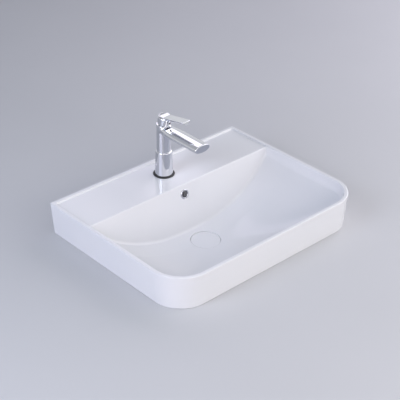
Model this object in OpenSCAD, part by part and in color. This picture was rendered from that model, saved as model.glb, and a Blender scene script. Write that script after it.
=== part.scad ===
// Countertop basin with a covered push-open waste and a single-lever basin mixer.
// Origin: middle of the footprint on the counter plane. +Z up, -Y to the user, +Y to the wall.
// The bowl and the waste reach below the counter, through a cut-out.

/* [Basin] */
// Width of the basin at its rim
basin_w = 600; // [520:1:700]
// Depth of the basin from wall to front
basin_d = 460; // [430:1:520]
// Height of the skirt above the counter
skirt_h = 88; // [78:1:120]
// Plan radius of the two front corners at the rim
corner_r = 84; // [50:1:110]
// How far the sides and the front lean in at the foot
skirt_taper = 7; // [2:0.5:12]
// Thickness of the skirt walls
skirt_wall = 12; // [9:0.5:16]
// Width of the raised rim
rim_w = 11; // [8:0.5:15]
// Height of the rim above the deck
deck_drop = 5; // [3:0.5:10]
// Reach of the deck from the wall to the edge of the bowl
deck_reach = 139; // [125:1:150]
// Thickness of the deck that carries the tap
deck_t = 12; // [10:0.5:15]

/* [Bowl] */
// Depth of the bowl from the rim to the waste
bowl_depth = 126; // [110:1:140]
// Slope of the flat back wall of the bowl, from level
back_slope = 76; // [70:0.5:80]
// Rise of the bowl floor from the waste to the side walls
side_rise = 100; // [80:1:108]
// Rise of the bowl floor from the waste to the front wall
front_rise = 95; // [75:1:108]
// Rise of the bowl floor from the waste to the back wall
back_rise = 3; // [1:0.5:6]
// How late the floor curves up: a higher power is flatter in the middle
dish_power = 2.5; // [2:0.1:3.5]
// Thickness of the bowl
bowl_t = 12; // [10:0.5:14]
// Distance of the waste from the wall
waste_from_wall = 224; // [215:1:240]

/* [Wall fixing] */
// Distance between the two bolt holes in the back of the skirt
wall_bolt_pitch = 280; // [160:1:420]
// Diameter of the bolt holes
wall_bolt_d = 12; // [8:0.5:14]
// Height of the bolt holes above the counter
wall_bolt_z = 30; // [20:1:45]

/* [Overflow] */
// Height of the overflow hole below the rim
overflow_drop = 30; // [27:0.5:40]
// Diameter of the hole for the overflow ring
overflow_hole_d = 20; // [18:0.5:24]
// Width of the flange of the overflow ring
ring_flange_w = 2.4; // [1.5:0.1:4]
// Thickness of the flange of the overflow ring
ring_flange_t = 1.6; // [1:0.1:2.5]
// Wall of the sleeve of the overflow ring
ring_wall = 1.4; // [1:0.1:2]
// Length of the sleeve of the overflow ring
ring_sleeve_l = 9; // [6:0.5:11]
// Width of the water channel behind the bowl
channel_w = 34; // [26:1:44]
// Depth of the water channel behind the bowl
channel_t = 9; // [7:0.5:12]
// Wall around the water channel
channel_wall = 6; // [5:0.5:9]

/* [Waste] */
// Diameter of the white cap that covers the waste
cap_d = 74; // [70:0.5:80]
// Thickness of the cap
cap_t = 5.4; // [4:0.1:8]
// Gap round the cap
cap_gap = 1.2; // [0.8:0.1:2]
// Travel of the cap when it is pushed open
cap_travel = 8; // [5:0.5:9]
// Diameter of the hole through the ceramic
waste_hole_d = 46; // [45:0.5:48]
// Outer diameter of the waste thread
tail_d = 41.9; // [40:0.1:43]
// Bore of the waste
tail_bore_d = 35; // [32:0.5:36]
// Length of the threaded tail below the back nut
tail_free_l = 46; // [30:1:70]
// Diameter of the waste flange
flange_d = 64; // [62:0.5:68]
// Thickness of the waste flange
flange_t = 3.5; // [3:0.1:5]
// Thickness of the seal under the flange
flange_seal_t = 1.5; // [1:0.1:3]
// Thickness of the seal under the cap
cap_seal_t = 1.9; // [1.5:0.1:2.5]
// Thickness of the ceramic between the flange and the gasket below it
waste_seat_t = 15; // [14:0.5:20]
// Thickness of the gasket under the ceramic
tail_gasket_t = 4; // [3:0.5:6]
// Thickness of the slip washer
slip_washer_t = 2; // [1.5:0.1:3]
// Height of the back nut
backnut_h = 11; // [8:0.5:16]
// Outer diameter of the gasket, the washer and the back nut
backnut_d = 66; // [62:0.5:72]
// Radius of the push rod
push_rod_r = 5; // [4:0.1:6]

/* [Tap body] */
// Distance of the tap from the wall
tap_from_wall = 68; // [62:1:78]
// Diameter of the tap hole in the deck
tap_hole_d = 35; // [34:0.5:37]
// Diameter of the black seal under the tap
base_seal_d = 54.4; // [50:0.2:58]
// Thickness of the black seal under the tap
base_seal_t = 3; // [2:0.5:4]
// Diameter of the tap body at its base
base_d = 46; // [44:0.5:49]
// Diameter of the tap body at its shoulder
shoulder_d = 41; // [40:0.5:43]
// Height of the shoulder above the base
shoulder_h = 64; // [55:1:80]
// Diameter of the upper column
column_d = 36; // [35:0.5:39]
// Height of the column above the base
column_h = 136; // [134:1:160]
// Reach of the spout from the middle of the column
spout_reach = 141; // [110:1:150]
// Width of the spout
spout_w = 46; // [44:0.5:50]
// Height of the spout
spout_h = 20; // [19:0.5:22]
// Height of the column above the spout
spout_below_top = 1; // [0.5:0.5:4]
// Diameter of the waterway in the spout
spout_bore_d = 10; // [8:0.5:11]
// Distance of the aerator from the tip of the spout
aerator_inset = 16; // [15:0.5:22]
// Outer diameter of the aerator
aerator_d = 23.3; // [21:0.1:24]
// Height of the aerator
aerator_h = 8; // [7:0.5:9]

/* [Tap fixing] */
// Diameter of the hot and cold inlet threads
inlet_d = 9; // [8:0.1:10]
// Depth of the inlet threads
inlet_depth = 14; // [10:0.5:18]
// Distance of each inlet from the middle
inlet_side = 7.6; // [7:0.1:8.5]
// Diameter of the fixing stud
stud_d = 8; // [6:0.5:8]
// Length of the fixing stud
stud_l = 62; // [50:1:75]
// Distance of the stud in front of the middle
stud_front = 9.5; // [9:0.1:11]
// Thickness of the rubber horseshoe
horseshoe_gasket_t = 3; // [2:0.5:4]
// Thickness of the steel horseshoe
horseshoe_plate_t = 2.5; // [1.5:0.5:4]
// Diameter of the horseshoes
horseshoe_d = 52; // [50:1:56]

/* [Handle] */
// Diameter of the hub of the handle
hub_d = 36; // [34:0.5:38]
// Height of the hub
hub_h = 19; // [17:0.5:24]
// Lean of the closed handle from the middle of its travel
handle_lean = 11; // [8:0.5:12]
// Length of the lever from the middle of the hub
lever_l = 82; // [60:1:100]
// Width of the lever
lever_w = 26; // [18:0.5:30]
// Thickness of the lever
lever_t = 9; // [6:0.5:10]
// Thickness of the lever along its two long edges
lever_edge = 1.2; // [0.6:0.2:3]
// Radius of the two corners of the tip of the lever
lever_corner_r = 6; // [2:0.5:8]
// Slope of the lever on its hub
lever_slope = 22; // [15:0.5:28]

/* [Hidden] */
$fn = 96;

// Clearances and small overlaps of cuts
cut = 1;
seat_gap = 0.3;
running = 0.05;
loose = 0.2;

// Basin levels and plan
half_w = basin_w / 2;
wall_y = basin_d / 2;
front_y = -basin_d / 2;
corner_x = half_w - corner_r;
corner_y = front_y + corner_r;
deck_z = skirt_h - deck_drop;
deck_under_z = deck_z - deck_t;
floor_z = skirt_h - bowl_depth;
bowl_edge_y = wall_y - deck_reach;
waste_y = wall_y - waste_from_wall;
tap_y = wall_y - tap_from_wall;
back_run = (deck_z - floor_z) / tan(back_slope);
wall_foot_y = bowl_edge_y - back_run;
inner_half_w = half_w - rim_w;
inner_front_y = front_y + rim_w;
dish_blend = 3;
dish_cells_x = 30;
dish_cells_y = 20;
dish_margin = 3;
shell_top = deck_z - deck_drop;

// Waste levels, from the cap down
recess_r = cap_d / 2 + cap_gap;
cap_low_z = floor_z - cap_t;
flange_top_z = cap_low_z - seat_gap;
flange_low_z = flange_top_z - flange_t;
recess_z = flange_low_z - flange_seal_t;
seat_low_z = recess_z - waste_seat_t;
gasket_low_z = seat_low_z - tail_gasket_t;
washer_low_z = gasket_low_z - slip_washer_t;
backnut_low_z = washer_low_z - backnut_h;
tail_low_z = backnut_low_z - tail_free_l;
seat_boss_margin = 12;
seat_boss_r = backnut_d / 2 + seat_boss_margin;
seal_seat_r = 24;
seal_side_gap = 0.5;
cap_seal_in_r = 17;
cap_seal_out_r = seal_seat_r - seal_side_gap;
rod_stub_r = 4;
rod_stub_l = 3;
collar_step = 1.8;
collar_r = push_rod_r + collar_step;
collar_h = 1.8;
guide_drop = 7;
guide_top_z = cap_low_z - guide_drop;
guide_h = 6;
spring_h = 9;
collar_top_z = guide_top_z - guide_h - cap_travel - loose;
rod_low_z = collar_top_z - collar_h;
spring_low_z = rod_low_z - spring_h;
click_floor_t = 3;
click_room = 0.4;
click_chamber_r = collar_r + click_room;
click_wall = 2.3;
click_r = click_chamber_r + click_wall;
wire_r = 0.7;
spring_turns = 4;
arm_w = 4;
arm_h = 10;
channel_floor_t = 4;
channel_foot_h = 6;
channel_low_z = seat_low_z + channel_floor_t;
channel_high_z = channel_low_z + channel_foot_h;
slot_w = 12;
thread_groove_w = 1.5;
thread_groove_t = 0.6;
nut_grips = 8;
grip_r = 5;
grip_h = backnut_h - 2;

// Overflow
overflow_z = skirt_h - overflow_drop;
overflow_along = (deck_z - overflow_z) / sin(back_slope);
duct_w = channel_w + 2 * channel_wall;
duct_t = bowl_t + channel_t + channel_wall;
duct_top_z = deck_under_z + cut;
duct_foot_h = 12;

// Tap levels
base_z = deck_z + base_seal_t;
column_top_z = base_z + column_h;
spout_z = column_top_z - spout_below_top - spout_h / 2;
spout_tip_y = tap_y - spout_reach;
aerator_y = spout_tip_y + aerator_inset;
spigot_room = 1.5;
spigot_r = tap_hole_d / 2 - spigot_room;
spigot_short = 3;
spigot_low_z = deck_under_z + spigot_short;
chamber_r = 13.5;
chamber_depth = 32;
chamber_z = column_top_z - chamber_depth;
waterway_r = 2.5;
inlet_back = 3.4;
gallery_wall = 3;
gallery_r = column_d / 2 - gallery_wall;
gallery_h = 16;
gallery_up = 6;
gallery_z = chamber_z + gallery_up;
spout_bore_up = 2.5;
spout_root_in = 1.5;
spout_root_x = column_d / 2 - spout_root_in;
spout_flare_l = 50;
spout_low_z = spout_z - spout_h / 2;
aerator_drop = 1;
aerator_washer_t = 2;
aerator_seat_z = spout_low_z - aerator_drop + aerator_h + aerator_washer_t;
aerator_skirt = 2;
aerator_lip_h = 1.5;
stud_depth = 14;
stud_top_z = spigot_low_z + stud_depth;
stud_nut_h = 10;
stud_nut_across = 13;
horseshoe_room = 3;

// Cartridge levels, from the chamber floor up
cartridge_r = chamber_r - loose;
cartridge_floor_t = 3;
cartridge_h = 24;
cartridge_top_z = chamber_z + cartridge_h;
cartridge_cavity_r = 11.5;
disc_low_z = chamber_z + cartridge_floor_t;
fixed_disc_r = cartridge_cavity_r - loose;
fixed_disc_t = 3;
port_r = 2.6;
port_x = 6.8;
port_back = 2.5;
moving_disc_r = 9;
moving_disc_t = 4.5;
disc_gap = 0.1;
moving_disc_low_z = disc_low_z + fixed_disc_t + disc_gap;
outlet_front = 7;
outlet_r = 3;
port_seal_h = 1.3;
port_seal_out_r = port_r + 1.2;
window_w = 6;
window_h = 5;
pocket_floor = 0.7;
pocket_w = 4.6;
guide_low_z = moving_disc_low_z + moving_disc_t + loose;
guide_flange_r = cartridge_cavity_r - seat_gap;
guide_flange_h = 5;
neck_low_z = guide_low_z + guide_flange_h + loose;
guide_r = 9.55;
neck_r = guide_r + running;
guide_top_over = 2;
pivot_up = 8;
pivot_z = guide_low_z + pivot_up;
pin_r = 1.25;
pin_l = 17;
spindle_w = 6.6;
spindle_slot_w = 7.4;
spindle_slot_l = 13;
ball_r = 2;
ball_drop = 9.5;
spindle_neck_r = 1.6;
spindle_low = 3;
spindle_top = 31;
nut_r = chamber_r - running;
nut_room = 0.6;
nut_bore_r = guide_r + nut_room;
nut_drop = 0.5;
nut_top_z = column_top_z - nut_drop;
cap_ring_t = 2;
dome_r = 21;
dome_t = 2;
dome_hole_r = 8;
hub_gap = 0.5;
hub_base_z = column_top_z + cap_ring_t + hub_gap;
hub_low = (hub_base_z - pivot_z + hub_d / 2 * sin(handle_lean)) / cos(handle_lean);
dome_room = 0.4;
hub_recess_r = dome_r + dome_room;
disc_offset = ball_drop * sin(handle_lean);
lever_root = hub_low + hub_h - lever_t;
screw_rise = 8;
screw_up = hub_low + screw_rise;
screw_r = 2.5;
screw_l = 10;
hex_depth = 3;
hex_r = 1.45;
plug_r = 3.4;
plug_t = 2.2;

// Inset of the skirt's outside from the rim line at height z
function taper_at(z) = skirt_taper * (1 - z / skirt_h);

// Distance from the wall side of the bowl's back wall face at height z
function wall_face_y(z) = bowl_edge_y - (deck_z - z) / tan(back_slope);

// Height of the bowl floor at a point of the plan
function side_part(x) = side_rise * pow(abs(x) / inner_half_w, dish_power);
function front_share(y) = max(0, waste_y - y) / (waste_y - inner_front_y);
function front_part(y) = front_rise * pow(front_share(y), dish_power);
function back_part(y) = back_rise * max(0, y - waste_y) / (wall_foot_y - waste_y);
function edge_part(x, y) =
  pow(pow(side_part(x), dish_blend) + pow(front_part(y), dish_blend), 1 / dish_blend);
function dish_z(x, y) = floor_z + back_part(y) + edge_part(x, y);

// Plan of the basin inside its outer edge, with round front corners
module plan(inset) {
  translate([-(half_w - inset), corner_y])
    square([2 * (half_w - inset), wall_y - inset - corner_y]);
  translate([-corner_x, front_y + inset])
    square([2 * corner_x, wall_y - inset - (front_y + inset)]);
  for (side = [-1, 1])
    translate([side * corner_x, corner_y])
      circle(r = corner_r - inset);
}

// Block with the skirt's lean, between two heights
module leaning_block(inset, low, high) {
  low_in = inset + taper_at(low);
  high_in = inset + taper_at(high);
  rotate([90, 0, 90])
    linear_extrude(2 * corner_x, center = true)
      polygon([
        [front_y + low_in, low],
        [wall_y - inset, low],
        [wall_y - inset, high],
        [front_y + high_in, high]
      ]);
  translate([0, wall_y - inset, 0])
    rotate([90, 0, 0])
      linear_extrude(wall_y - inset - corner_y)
        polygon([
          [-(half_w - low_in), low],
          [half_w - low_in, low],
          [half_w - high_in, high],
          [-(half_w - high_in), high]
        ]);
  for (side = [-1, 1])
    translate([side * corner_x, corner_y, low])
      cylinder(h = high - low, r1 = corner_r - low_in, r2 = corner_r - high_in);
}

// Everything above the bowl floor, lowered by drop and closed at top
module dish_volume(drop, top) {
  x0 = -inner_half_w - dish_margin;
  y0 = inner_front_y - dish_margin;
  y1 = bowl_edge_y + duct_t;
  step_x = -2 * x0 / dish_cells_x;
  step_y = (y1 - y0) / dish_cells_y;
  row = dish_cells_x + 1;
  corner = row * (dish_cells_y + 1);
  floor_points = [
    for (j = [0:dish_cells_y], i = [0:dish_cells_x])
      let (x = x0 + i * step_x, y = y0 + j * step_y)
        [x, y, min(dish_z(x, y) - drop, top - cut)]
  ];
  top_points = [[x0, y0, top], [-x0, y0, top], [-x0, y1, top], [x0, y1, top]];
  floor_faces = [
    for (j = [0:dish_cells_y - 1], i = [0:dish_cells_x - 1], half = [0, 1])
      let (a = j * row + i)
        half == 0 ? [a, a + 1, a + row + 1] : [a, a + row + 1, a + row]
  ];
  front_face = concat([corner, corner + 1], [for (i = [dish_cells_x:-1:0]) i]);
  right_face = concat([corner + 1, corner + 2], [for (j = [dish_cells_y:-1:0]) j * row + dish_cells_x]);
  back_face = concat([corner + 2, corner + 3], [for (i = [0:dish_cells_x]) dish_cells_y * row + i]);
  left_face = concat([corner + 3, corner], [for (j = [0:dish_cells_y]) j * row]);
  top_face = [corner, corner + 3, corner + 2, corner + 1];
  polyhedron(
    points = concat(floor_points, top_points),
    faces = concat(floor_faces, [front_face, right_face, back_face, left_face, top_face]),
    convexity = 6
  );
}

// Moves its children to the bowl's edge, with Z up along the sloping back wall
module on_back_wall() {
  translate([0, bowl_edge_y, deck_z])
    rotate([back_slope - 90, 0, 0])
      children();
}

// Everything behind the bowl's back wall, moved back by offset
module behind_back_wall(offset_y) {
  on_back_wall()
    translate([-half_w, offset_y, -2 * basin_d])
      cube([basin_w, basin_d, 4 * basin_d]);
}

module bowl_space() {
  difference() {
    intersection() {
      dish_volume(0, skirt_h + cut);
      translate([0, 0, floor_z - cut])
        linear_extrude(bowl_depth + 3 * cut)
          plan(rim_w);
    }
    behind_back_wall(0);
  }
}

module bowl_shell() {
  difference() {
    intersection() {
      dish_volume(bowl_t, shell_top);
      translate([0, 0, floor_z - 2 * bowl_t])
        linear_extrude(bowl_depth + 2 * bowl_t)
          plan(rim_w + cut / 2);
    }
    behind_back_wall(bowl_t);
  }
}

// Bent bar seen from the side: down behind the back wall, then forward to the waste.
// near and far are its distances behind the wall's face, knee_z is where its top turns.
module bent_bar(width, near, far, top_z, knee_z, low_z) {
  rotate([90, 0, 90])
    linear_extrude(width, center = true)
      polygon([
        [waste_y, low_z],
        [wall_face_y(low_z) + far / sin(back_slope), low_z],
        [wall_face_y(top_z) + far / sin(back_slope), top_z],
        [wall_face_y(top_z) + near / sin(back_slope), top_z],
        [wall_face_y(knee_z) + near / sin(back_slope), knee_z],
        [waste_y, knee_z]
      ]);
}

module overflow_duct() {
  bent_bar(duct_w, cut, duct_t, duct_top_z, seat_low_z + duct_foot_h, seat_low_z);
}

module overflow_channel() {
  bent_bar(channel_w, bowl_t, bowl_t + channel_t, duct_top_z - channel_wall, channel_high_z, channel_low_z);
  on_back_wall()
    translate([0, -cut, -overflow_along])
      rotate([-90, 0, 0])
        cylinder(h = bowl_t + channel_t / 2, d = overflow_hole_d);
}

module basin_body() {
  color([0.93, 0.93, 0.96])
    difference() {
      union() {
        difference() {
          leaning_block(0, 0, skirt_h);
          leaning_block(skirt_wall, -cut, deck_under_z);
        }
        bowl_shell();
        overflow_duct();
        translate([0, waste_y, seat_low_z])
          cylinder(h = floor_z - bowl_t / 2 - seat_low_z, r = seat_boss_r);
      }
      bowl_space();
      translate([0, 0, deck_z])
        linear_extrude(deck_drop + cut)
          plan(rim_w);
      overflow_channel();
      translate([0, tap_y, deck_under_z - cut])
        cylinder(h = deck_t + 2 * cut, d = tap_hole_d);
      translate([0, waste_y, recess_z])
        cylinder(h = floor_z + 3 * cut - recess_z, r = recess_r);
      translate([0, waste_y, seat_low_z - cut])
        cylinder(h = waste_seat_t + 2 * cut, d = waste_hole_d);
      for (side = [-1, 1])
        translate([side * wall_bolt_pitch / 2, wall_y + cut, wall_bolt_z])
          rotate([90, 0, 0])
            cylinder(h = skirt_wall + 2 * cut, d = wall_bolt_d);
    }
}

module overflow_ring() {
  sleeve_r = overflow_hole_d / 2 - running;
  color([0.8, 0.81, 0.84])
    on_back_wall()
      translate([0, 0, -overflow_along])
        rotate([-90, 0, 0])
          difference() {
            union() {
              translate([0, 0, -ring_flange_t])
                cylinder(h = ring_flange_t, r = sleeve_r + ring_flange_w);
              translate([0, 0, -ring_flange_t / 2])
                cylinder(h = ring_sleeve_l + ring_flange_t / 2, r = sleeve_r);
            }
            translate([0, 0, -ring_flange_t - cut])
              cylinder(h = ring_sleeve_l + ring_flange_t + 2 * cut, r = sleeve_r - ring_wall);
          }
}

module on_waste(z) {
  translate([0, waste_y, z])
    children();
}

// Flat ring, standing on the current level
module ring(h, out_r, in_r) {
  difference() {
    cylinder(h = h, r = out_r);
    translate([0, 0, -cut])
      cylinder(h = h + 2 * cut, r = in_r);
  }
}

module waste_cap() {
  color([0.93, 0.93, 0.96])
    on_waste(cap_low_z)
      difference() {
        cylinder(h = cap_t, d = cap_d);
        translate([0, 0, -cut])
          cylinder(h = rod_stub_l + loose + cut, r = rod_stub_r + running);
      }
}

module cap_seal() {
  color([0.12, 0.12, 0.13])
    on_waste(cap_low_z - cap_seal_t)
      ring(cap_seal_t, cap_seal_out_r, cap_seal_in_r);
}

module push_rod() {
  color([0.82, 0.68, 0.36]) {
    on_waste(rod_low_z)
      cylinder(h = cap_low_z - rod_low_z, r = push_rod_r);
    on_waste(rod_low_z)
      cylinder(h = collar_h, r = collar_r);
    on_waste(cap_low_z - cut)
      cylinder(h = rod_stub_l + cut, r = rod_stub_r);
  }
}

module click_housing() {
  height = guide_top_z - spring_low_z + click_floor_t;
  color([0.75, 0.76, 0.78])
    on_waste(spring_low_z - click_floor_t)
      difference() {
        union() {
          cylinder(h = height, r = click_r);
          intersection() {
            for (turn = [90:120:330])
              rotate(turn)
                translate([0, -arm_w / 2, 0])
                  cube([tail_bore_d, arm_w, arm_h]);
            cylinder(h = arm_h, r = tail_bore_d / 2 - running);
          }
        }
        translate([0, 0, click_floor_t])
          cylinder(h = height - click_floor_t - guide_h, r = click_chamber_r);
        translate([0, 0, click_floor_t])
          cylinder(h = height, r = push_rod_r + running);
      }
}

// Round wire wound into a compression spring, with flat seats a wire radius in
module wound_spring(coil_r, height, turns) {
  sides = 8;
  steps = turns * 20;
  climb = (height - 2 * wire_r) / steps;
  rings = [
    for (k = [0:steps], s = [0:sides - 1])
      let (turn = k * 360 / 20, around = s * 360 / sides, out = coil_r + wire_r * cos(around))
        [out * cos(turn), out * sin(turn), wire_r + k * climb + wire_r * sin(around)]
  ];
  skin = [
    for (k = [0:steps - 1], s = [0:sides - 1], half = [0, 1])
      let (a = k * sides + s, b = k * sides + (s + 1) % sides)
        half == 0 ? [a, b, b + sides] : [a, b + sides, a + sides]
  ];
  start_cap = [for (s = [sides - 1:-1:0]) s];
  end_cap = [for (s = [0:sides - 1]) steps * sides + s];
  polyhedron(points = rings, faces = concat(skin, [start_cap, end_cap]), convexity = 8);
}

module click_spring() {
  color([0.7, 0.7, 0.72])
    on_waste(spring_low_z)
      wound_spring(click_chamber_r - wire_r - click_room, spring_h, spring_turns);
}

module waste_flange() {
  tail_r = tail_d / 2;
  color([0.8, 0.81, 0.84])
    difference() {
      union() {
        on_waste(flange_low_z)
          cylinder(h = flange_t, d = flange_d);
        on_waste(tail_low_z)
          cylinder(h = flange_low_z + cut - tail_low_z, r = tail_r);
      }
      on_waste(tail_low_z - cut)
        cylinder(h = flange_top_z + 2 * cut - tail_low_z, d = tail_bore_d);
      on_waste(flange_top_z - cap_seal_t)
        cylinder(h = cap_seal_t + cut, r = seal_seat_r);
      for (turn = [0, 90])
        on_waste(channel_low_z)
          rotate(turn)
            translate([-slot_w / 2, -tail_d, 0])
              cube([slot_w, 2 * tail_d, channel_foot_h]);
      on_waste(backnut_low_z - 2 * thread_groove_w)
        ring(thread_groove_w, tail_d, tail_r - thread_groove_t);
    }
}

module flange_seal() {
  color([0.12, 0.12, 0.13])
    on_waste(recess_z)
      ring(flange_seal_t, flange_d / 2 - seal_side_gap, waste_hole_d / 2);
}

module tail_gasket() {
  color([0.12, 0.12, 0.13])
    on_waste(gasket_low_z)
      ring(tail_gasket_t, backnut_d / 2, tail_d / 2 + running);
}

module slip_washer() {
  color([0.9, 0.9, 0.88])
    on_waste(washer_low_z)
      ring(slip_washer_t, backnut_d / 2 - 1, tail_d / 2 + loose);
}

module waste_backnut() {
  color([0.82, 0.68, 0.36])
    on_waste(backnut_low_z)
      difference() {
        cylinder(h = backnut_h, d = backnut_d - 4);
        translate([0, 0, -cut])
          cylinder(h = backnut_h + 2 * cut, r = tail_d / 2 + running);
        for (k = [0:nut_grips - 1])
          rotate(k * 360 / nut_grips)
            translate([backnut_d / 2, 0, -cut])
              cylinder(h = grip_h + cut, r = grip_r);
      }
}

module on_tap(z) {
  translate([0, tap_y, z])
    children();
}

// Flat oval bar along -Y, from the tap's middle to the tip of the spout, narrow at its root
module spout_bar() {
  end_r = spout_h / 2;
  side_x = spout_w / 2 - end_r;
  wide_x = spout_w / 2 + cut;
  intersection() {
    translate([0, tap_y, spout_z])
      rotate([90, 0, 0])
        linear_extrude(spout_reach) {
          square([2 * side_x, spout_h], center = true);
          for (side = [-1, 1])
            translate([side * side_x, 0])
              circle(r = end_r);
        }
    translate([0, tap_y, spout_low_z - cut])
      linear_extrude(spout_h + 2 * cut)
        polygon([
          [-spout_root_x, cut],
          [-wide_x, -spout_flare_l],
          [-wide_x, -spout_reach - cut],
          [wide_x, -spout_reach - cut],
          [wide_x, -spout_flare_l],
          [spout_root_x, cut]
        ]);
  }
}

module tap_body() {
  color([0.8, 0.81, 0.84])
    difference() {
      union() {
        on_tap(base_z)
          cylinder(h = shoulder_h, d1 = base_d, d2 = shoulder_d);
        on_tap(spigot_low_z)
          cylinder(h = base_z + cut - spigot_low_z, r = spigot_r);
        on_tap(base_z)
          cylinder(h = column_h, d = column_d);
        spout_bar();
      }
      on_tap(chamber_z)
        cylinder(h = chamber_depth + cut, r = chamber_r);
      on_tap(gallery_z)
        cylinder(h = gallery_h, r = gallery_r);
      translate([0, tap_y, spout_z + spout_bore_up])
        rotate([90, 0, 0])
          cylinder(h = tap_y - aerator_y, d = spout_bore_d);
      translate([0, aerator_y, spout_low_z - cut])
        cylinder(h = aerator_seat_z - spout_low_z + cut, d = aerator_d + 2 * running);
      for (side = [-1, 1]) {
        translate([side * inlet_side, tap_y + inlet_back, spigot_low_z - cut])
          cylinder(h = inlet_depth + cut, d = inlet_d);
        translate([side * port_x, tap_y + port_back, spigot_low_z])
          cylinder(h = chamber_z + cut - spigot_low_z, r = waterway_r);
      }
      translate([0, tap_y - stud_front, spigot_low_z - cut])
        cylinder(h = stud_top_z + cut - spigot_low_z, r = stud_d / 2 + running);
    }
}

module base_seal() {
  color([0.08, 0.08, 0.09])
    on_tap(deck_z)
      ring(base_seal_t, base_seal_d / 2, tap_hole_d / 2);
}

module fixing_stud() {
  color([0.82, 0.68, 0.36])
    translate([0, tap_y - stud_front, stud_top_z - stud_l])
      cylinder(h = stud_l, r = stud_d / 2);
}

// C-shaped plate that leaves room for the two supply pipes at the back
module horseshoe(thickness) {
  opening = 2 * inlet_side + inlet_d + horseshoe_room;
  difference() {
    cylinder(h = thickness, d = horseshoe_d);
    translate([-opening / 2, -stud_front + stud_d / 2 + horseshoe_room, -cut])
      cube([opening, horseshoe_d, thickness + 2 * cut]);
    translate([0, -stud_front, -cut])
      cylinder(h = thickness + 2 * cut, r = stud_d / 2 + loose);
  }
}

module horseshoe_gasket() {
  color([0.12, 0.12, 0.13])
    on_tap(deck_under_z - horseshoe_gasket_t)
      horseshoe(horseshoe_gasket_t);
}

module horseshoe_plate() {
  color([0.7, 0.7, 0.72])
    on_tap(deck_under_z - horseshoe_gasket_t - horseshoe_plate_t)
      horseshoe(horseshoe_plate_t);
}

module stud_nut() {
  nut_low_z = deck_under_z - horseshoe_gasket_t - horseshoe_plate_t - stud_nut_h;
  color([0.82, 0.68, 0.36])
    translate([0, tap_y - stud_front, nut_low_z])
      difference() {
        cylinder(h = stud_nut_h, r = stud_nut_across / sqrt(3), $fn = 6);
        translate([0, 0, -cut])
          cylinder(h = stud_nut_h + 2 * cut, r = stud_d / 2 + running);
      }
}

// The two inlet ports of the cartridge, cut or filled by the children
module at_ports() {
  for (side = [-1, 1])
    translate([side * port_x, port_back, 0])
      children();
}

module cartridge_housing() {
  color([0.85, 0.85, 0.84])
    on_tap(chamber_z)
      difference() {
        cylinder(h = cartridge_h, r = cartridge_r);
        translate([0, 0, cartridge_floor_t])
          cylinder(h = neck_low_z - disc_low_z, r = cartridge_cavity_r);
        translate([0, 0, cartridge_floor_t])
          cylinder(h = cartridge_h, r = neck_r);
        at_ports()
          translate([0, 0, -cut])
            cylinder(h = cartridge_floor_t + 2 * cut, r = port_r);
        at_ports()
          translate([0, 0, -cut])
            cylinder(h = cut + port_seal_h, r = port_seal_out_r + disc_gap);
        for (turn = [-60, 0, 60])
          rotate(turn)
            translate([-window_w / 2, -2 * chamber_r, cartridge_floor_t + fixed_disc_t + loose])
              cube([window_w, 2 * chamber_r, window_h]);
      }
}

module cartridge_seals() {
  color([0.12, 0.12, 0.13])
    on_tap(chamber_z)
      at_ports()
        ring(port_seal_h, port_seal_out_r, port_r);
}

module fixed_disc() {
  color([0.95, 0.94, 0.9])
    on_tap(disc_low_z)
      difference() {
        cylinder(h = fixed_disc_t, r = fixed_disc_r);
        at_ports()
          translate([0, 0, -cut])
            cylinder(h = fixed_disc_t + 2 * cut, r = port_r);
        translate([0, -outlet_front, fixed_disc_t / 2])
          cylinder(h = fixed_disc_t, r = outlet_r);
      }
}

module moving_disc() {
  pocket_h = moving_disc_t - pocket_floor;
  color([0.35, 0.36, 0.4])
    translate([0, tap_y + disc_offset, moving_disc_low_z])
      difference() {
        cylinder(h = moving_disc_t, r = moving_disc_r);
        translate([-pocket_w / 2, -pocket_w / 2, pocket_floor])
          cube([pocket_w, pocket_w, pocket_h + cut]);
      }
}

module spindle_guide() {
  height = cartridge_top_z + guide_top_over - guide_low_z;
  color([0.2, 0.22, 0.26])
    on_tap(guide_low_z)
      difference() {
        union() {
          cylinder(h = guide_flange_h, r = guide_flange_r);
          cylinder(h = height, r = guide_r);
        }
        translate([-spindle_slot_w / 2, -spindle_slot_l / 2, -cut])
          cube([spindle_slot_w, spindle_slot_l, height + 2 * cut]);
        translate([-guide_flange_r - cut, 0, pivot_z - guide_low_z])
          rotate([0, 90, 0])
            cylinder(h = 2 * (guide_flange_r + cut), r = pin_r + running / 2);
      }
}

module pivot_pin() {
  color([0.7, 0.7, 0.72])
    translate([-pin_l / 2, tap_y, pivot_z])
      rotate([0, 90, 0])
        cylinder(h = pin_l, r = pin_r);
}

// The handle's own frame: origin on the pivot, Z along the spindle, at the closed lean
module on_pivot() {
  translate([0, tap_y, pivot_z])
    rotate([handle_lean, 0, 0])
      children();
}

module lever_spindle() {
  color([0.82, 0.68, 0.36])
    on_pivot()
      difference() {
        union() {
          translate([-spindle_w / 2, -spindle_w / 2, -spindle_low])
            cube([spindle_w, spindle_w, spindle_top + spindle_low]);
          translate([0, 0, -ball_drop])
            cylinder(h = ball_drop, r = spindle_neck_r);
          translate([0, 0, -ball_drop])
            sphere(r = ball_r);
        }
        translate([-spindle_w, 0, 0])
          rotate([0, 90, 0])
            cylinder(h = 2 * spindle_w, r = pin_r + running);
      }
}

module cartridge_nut() {
  color([0.82, 0.68, 0.36])
    on_tap(cartridge_top_z)
      ring(nut_top_z - cartridge_top_z, nut_r, nut_bore_r);
}

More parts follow.
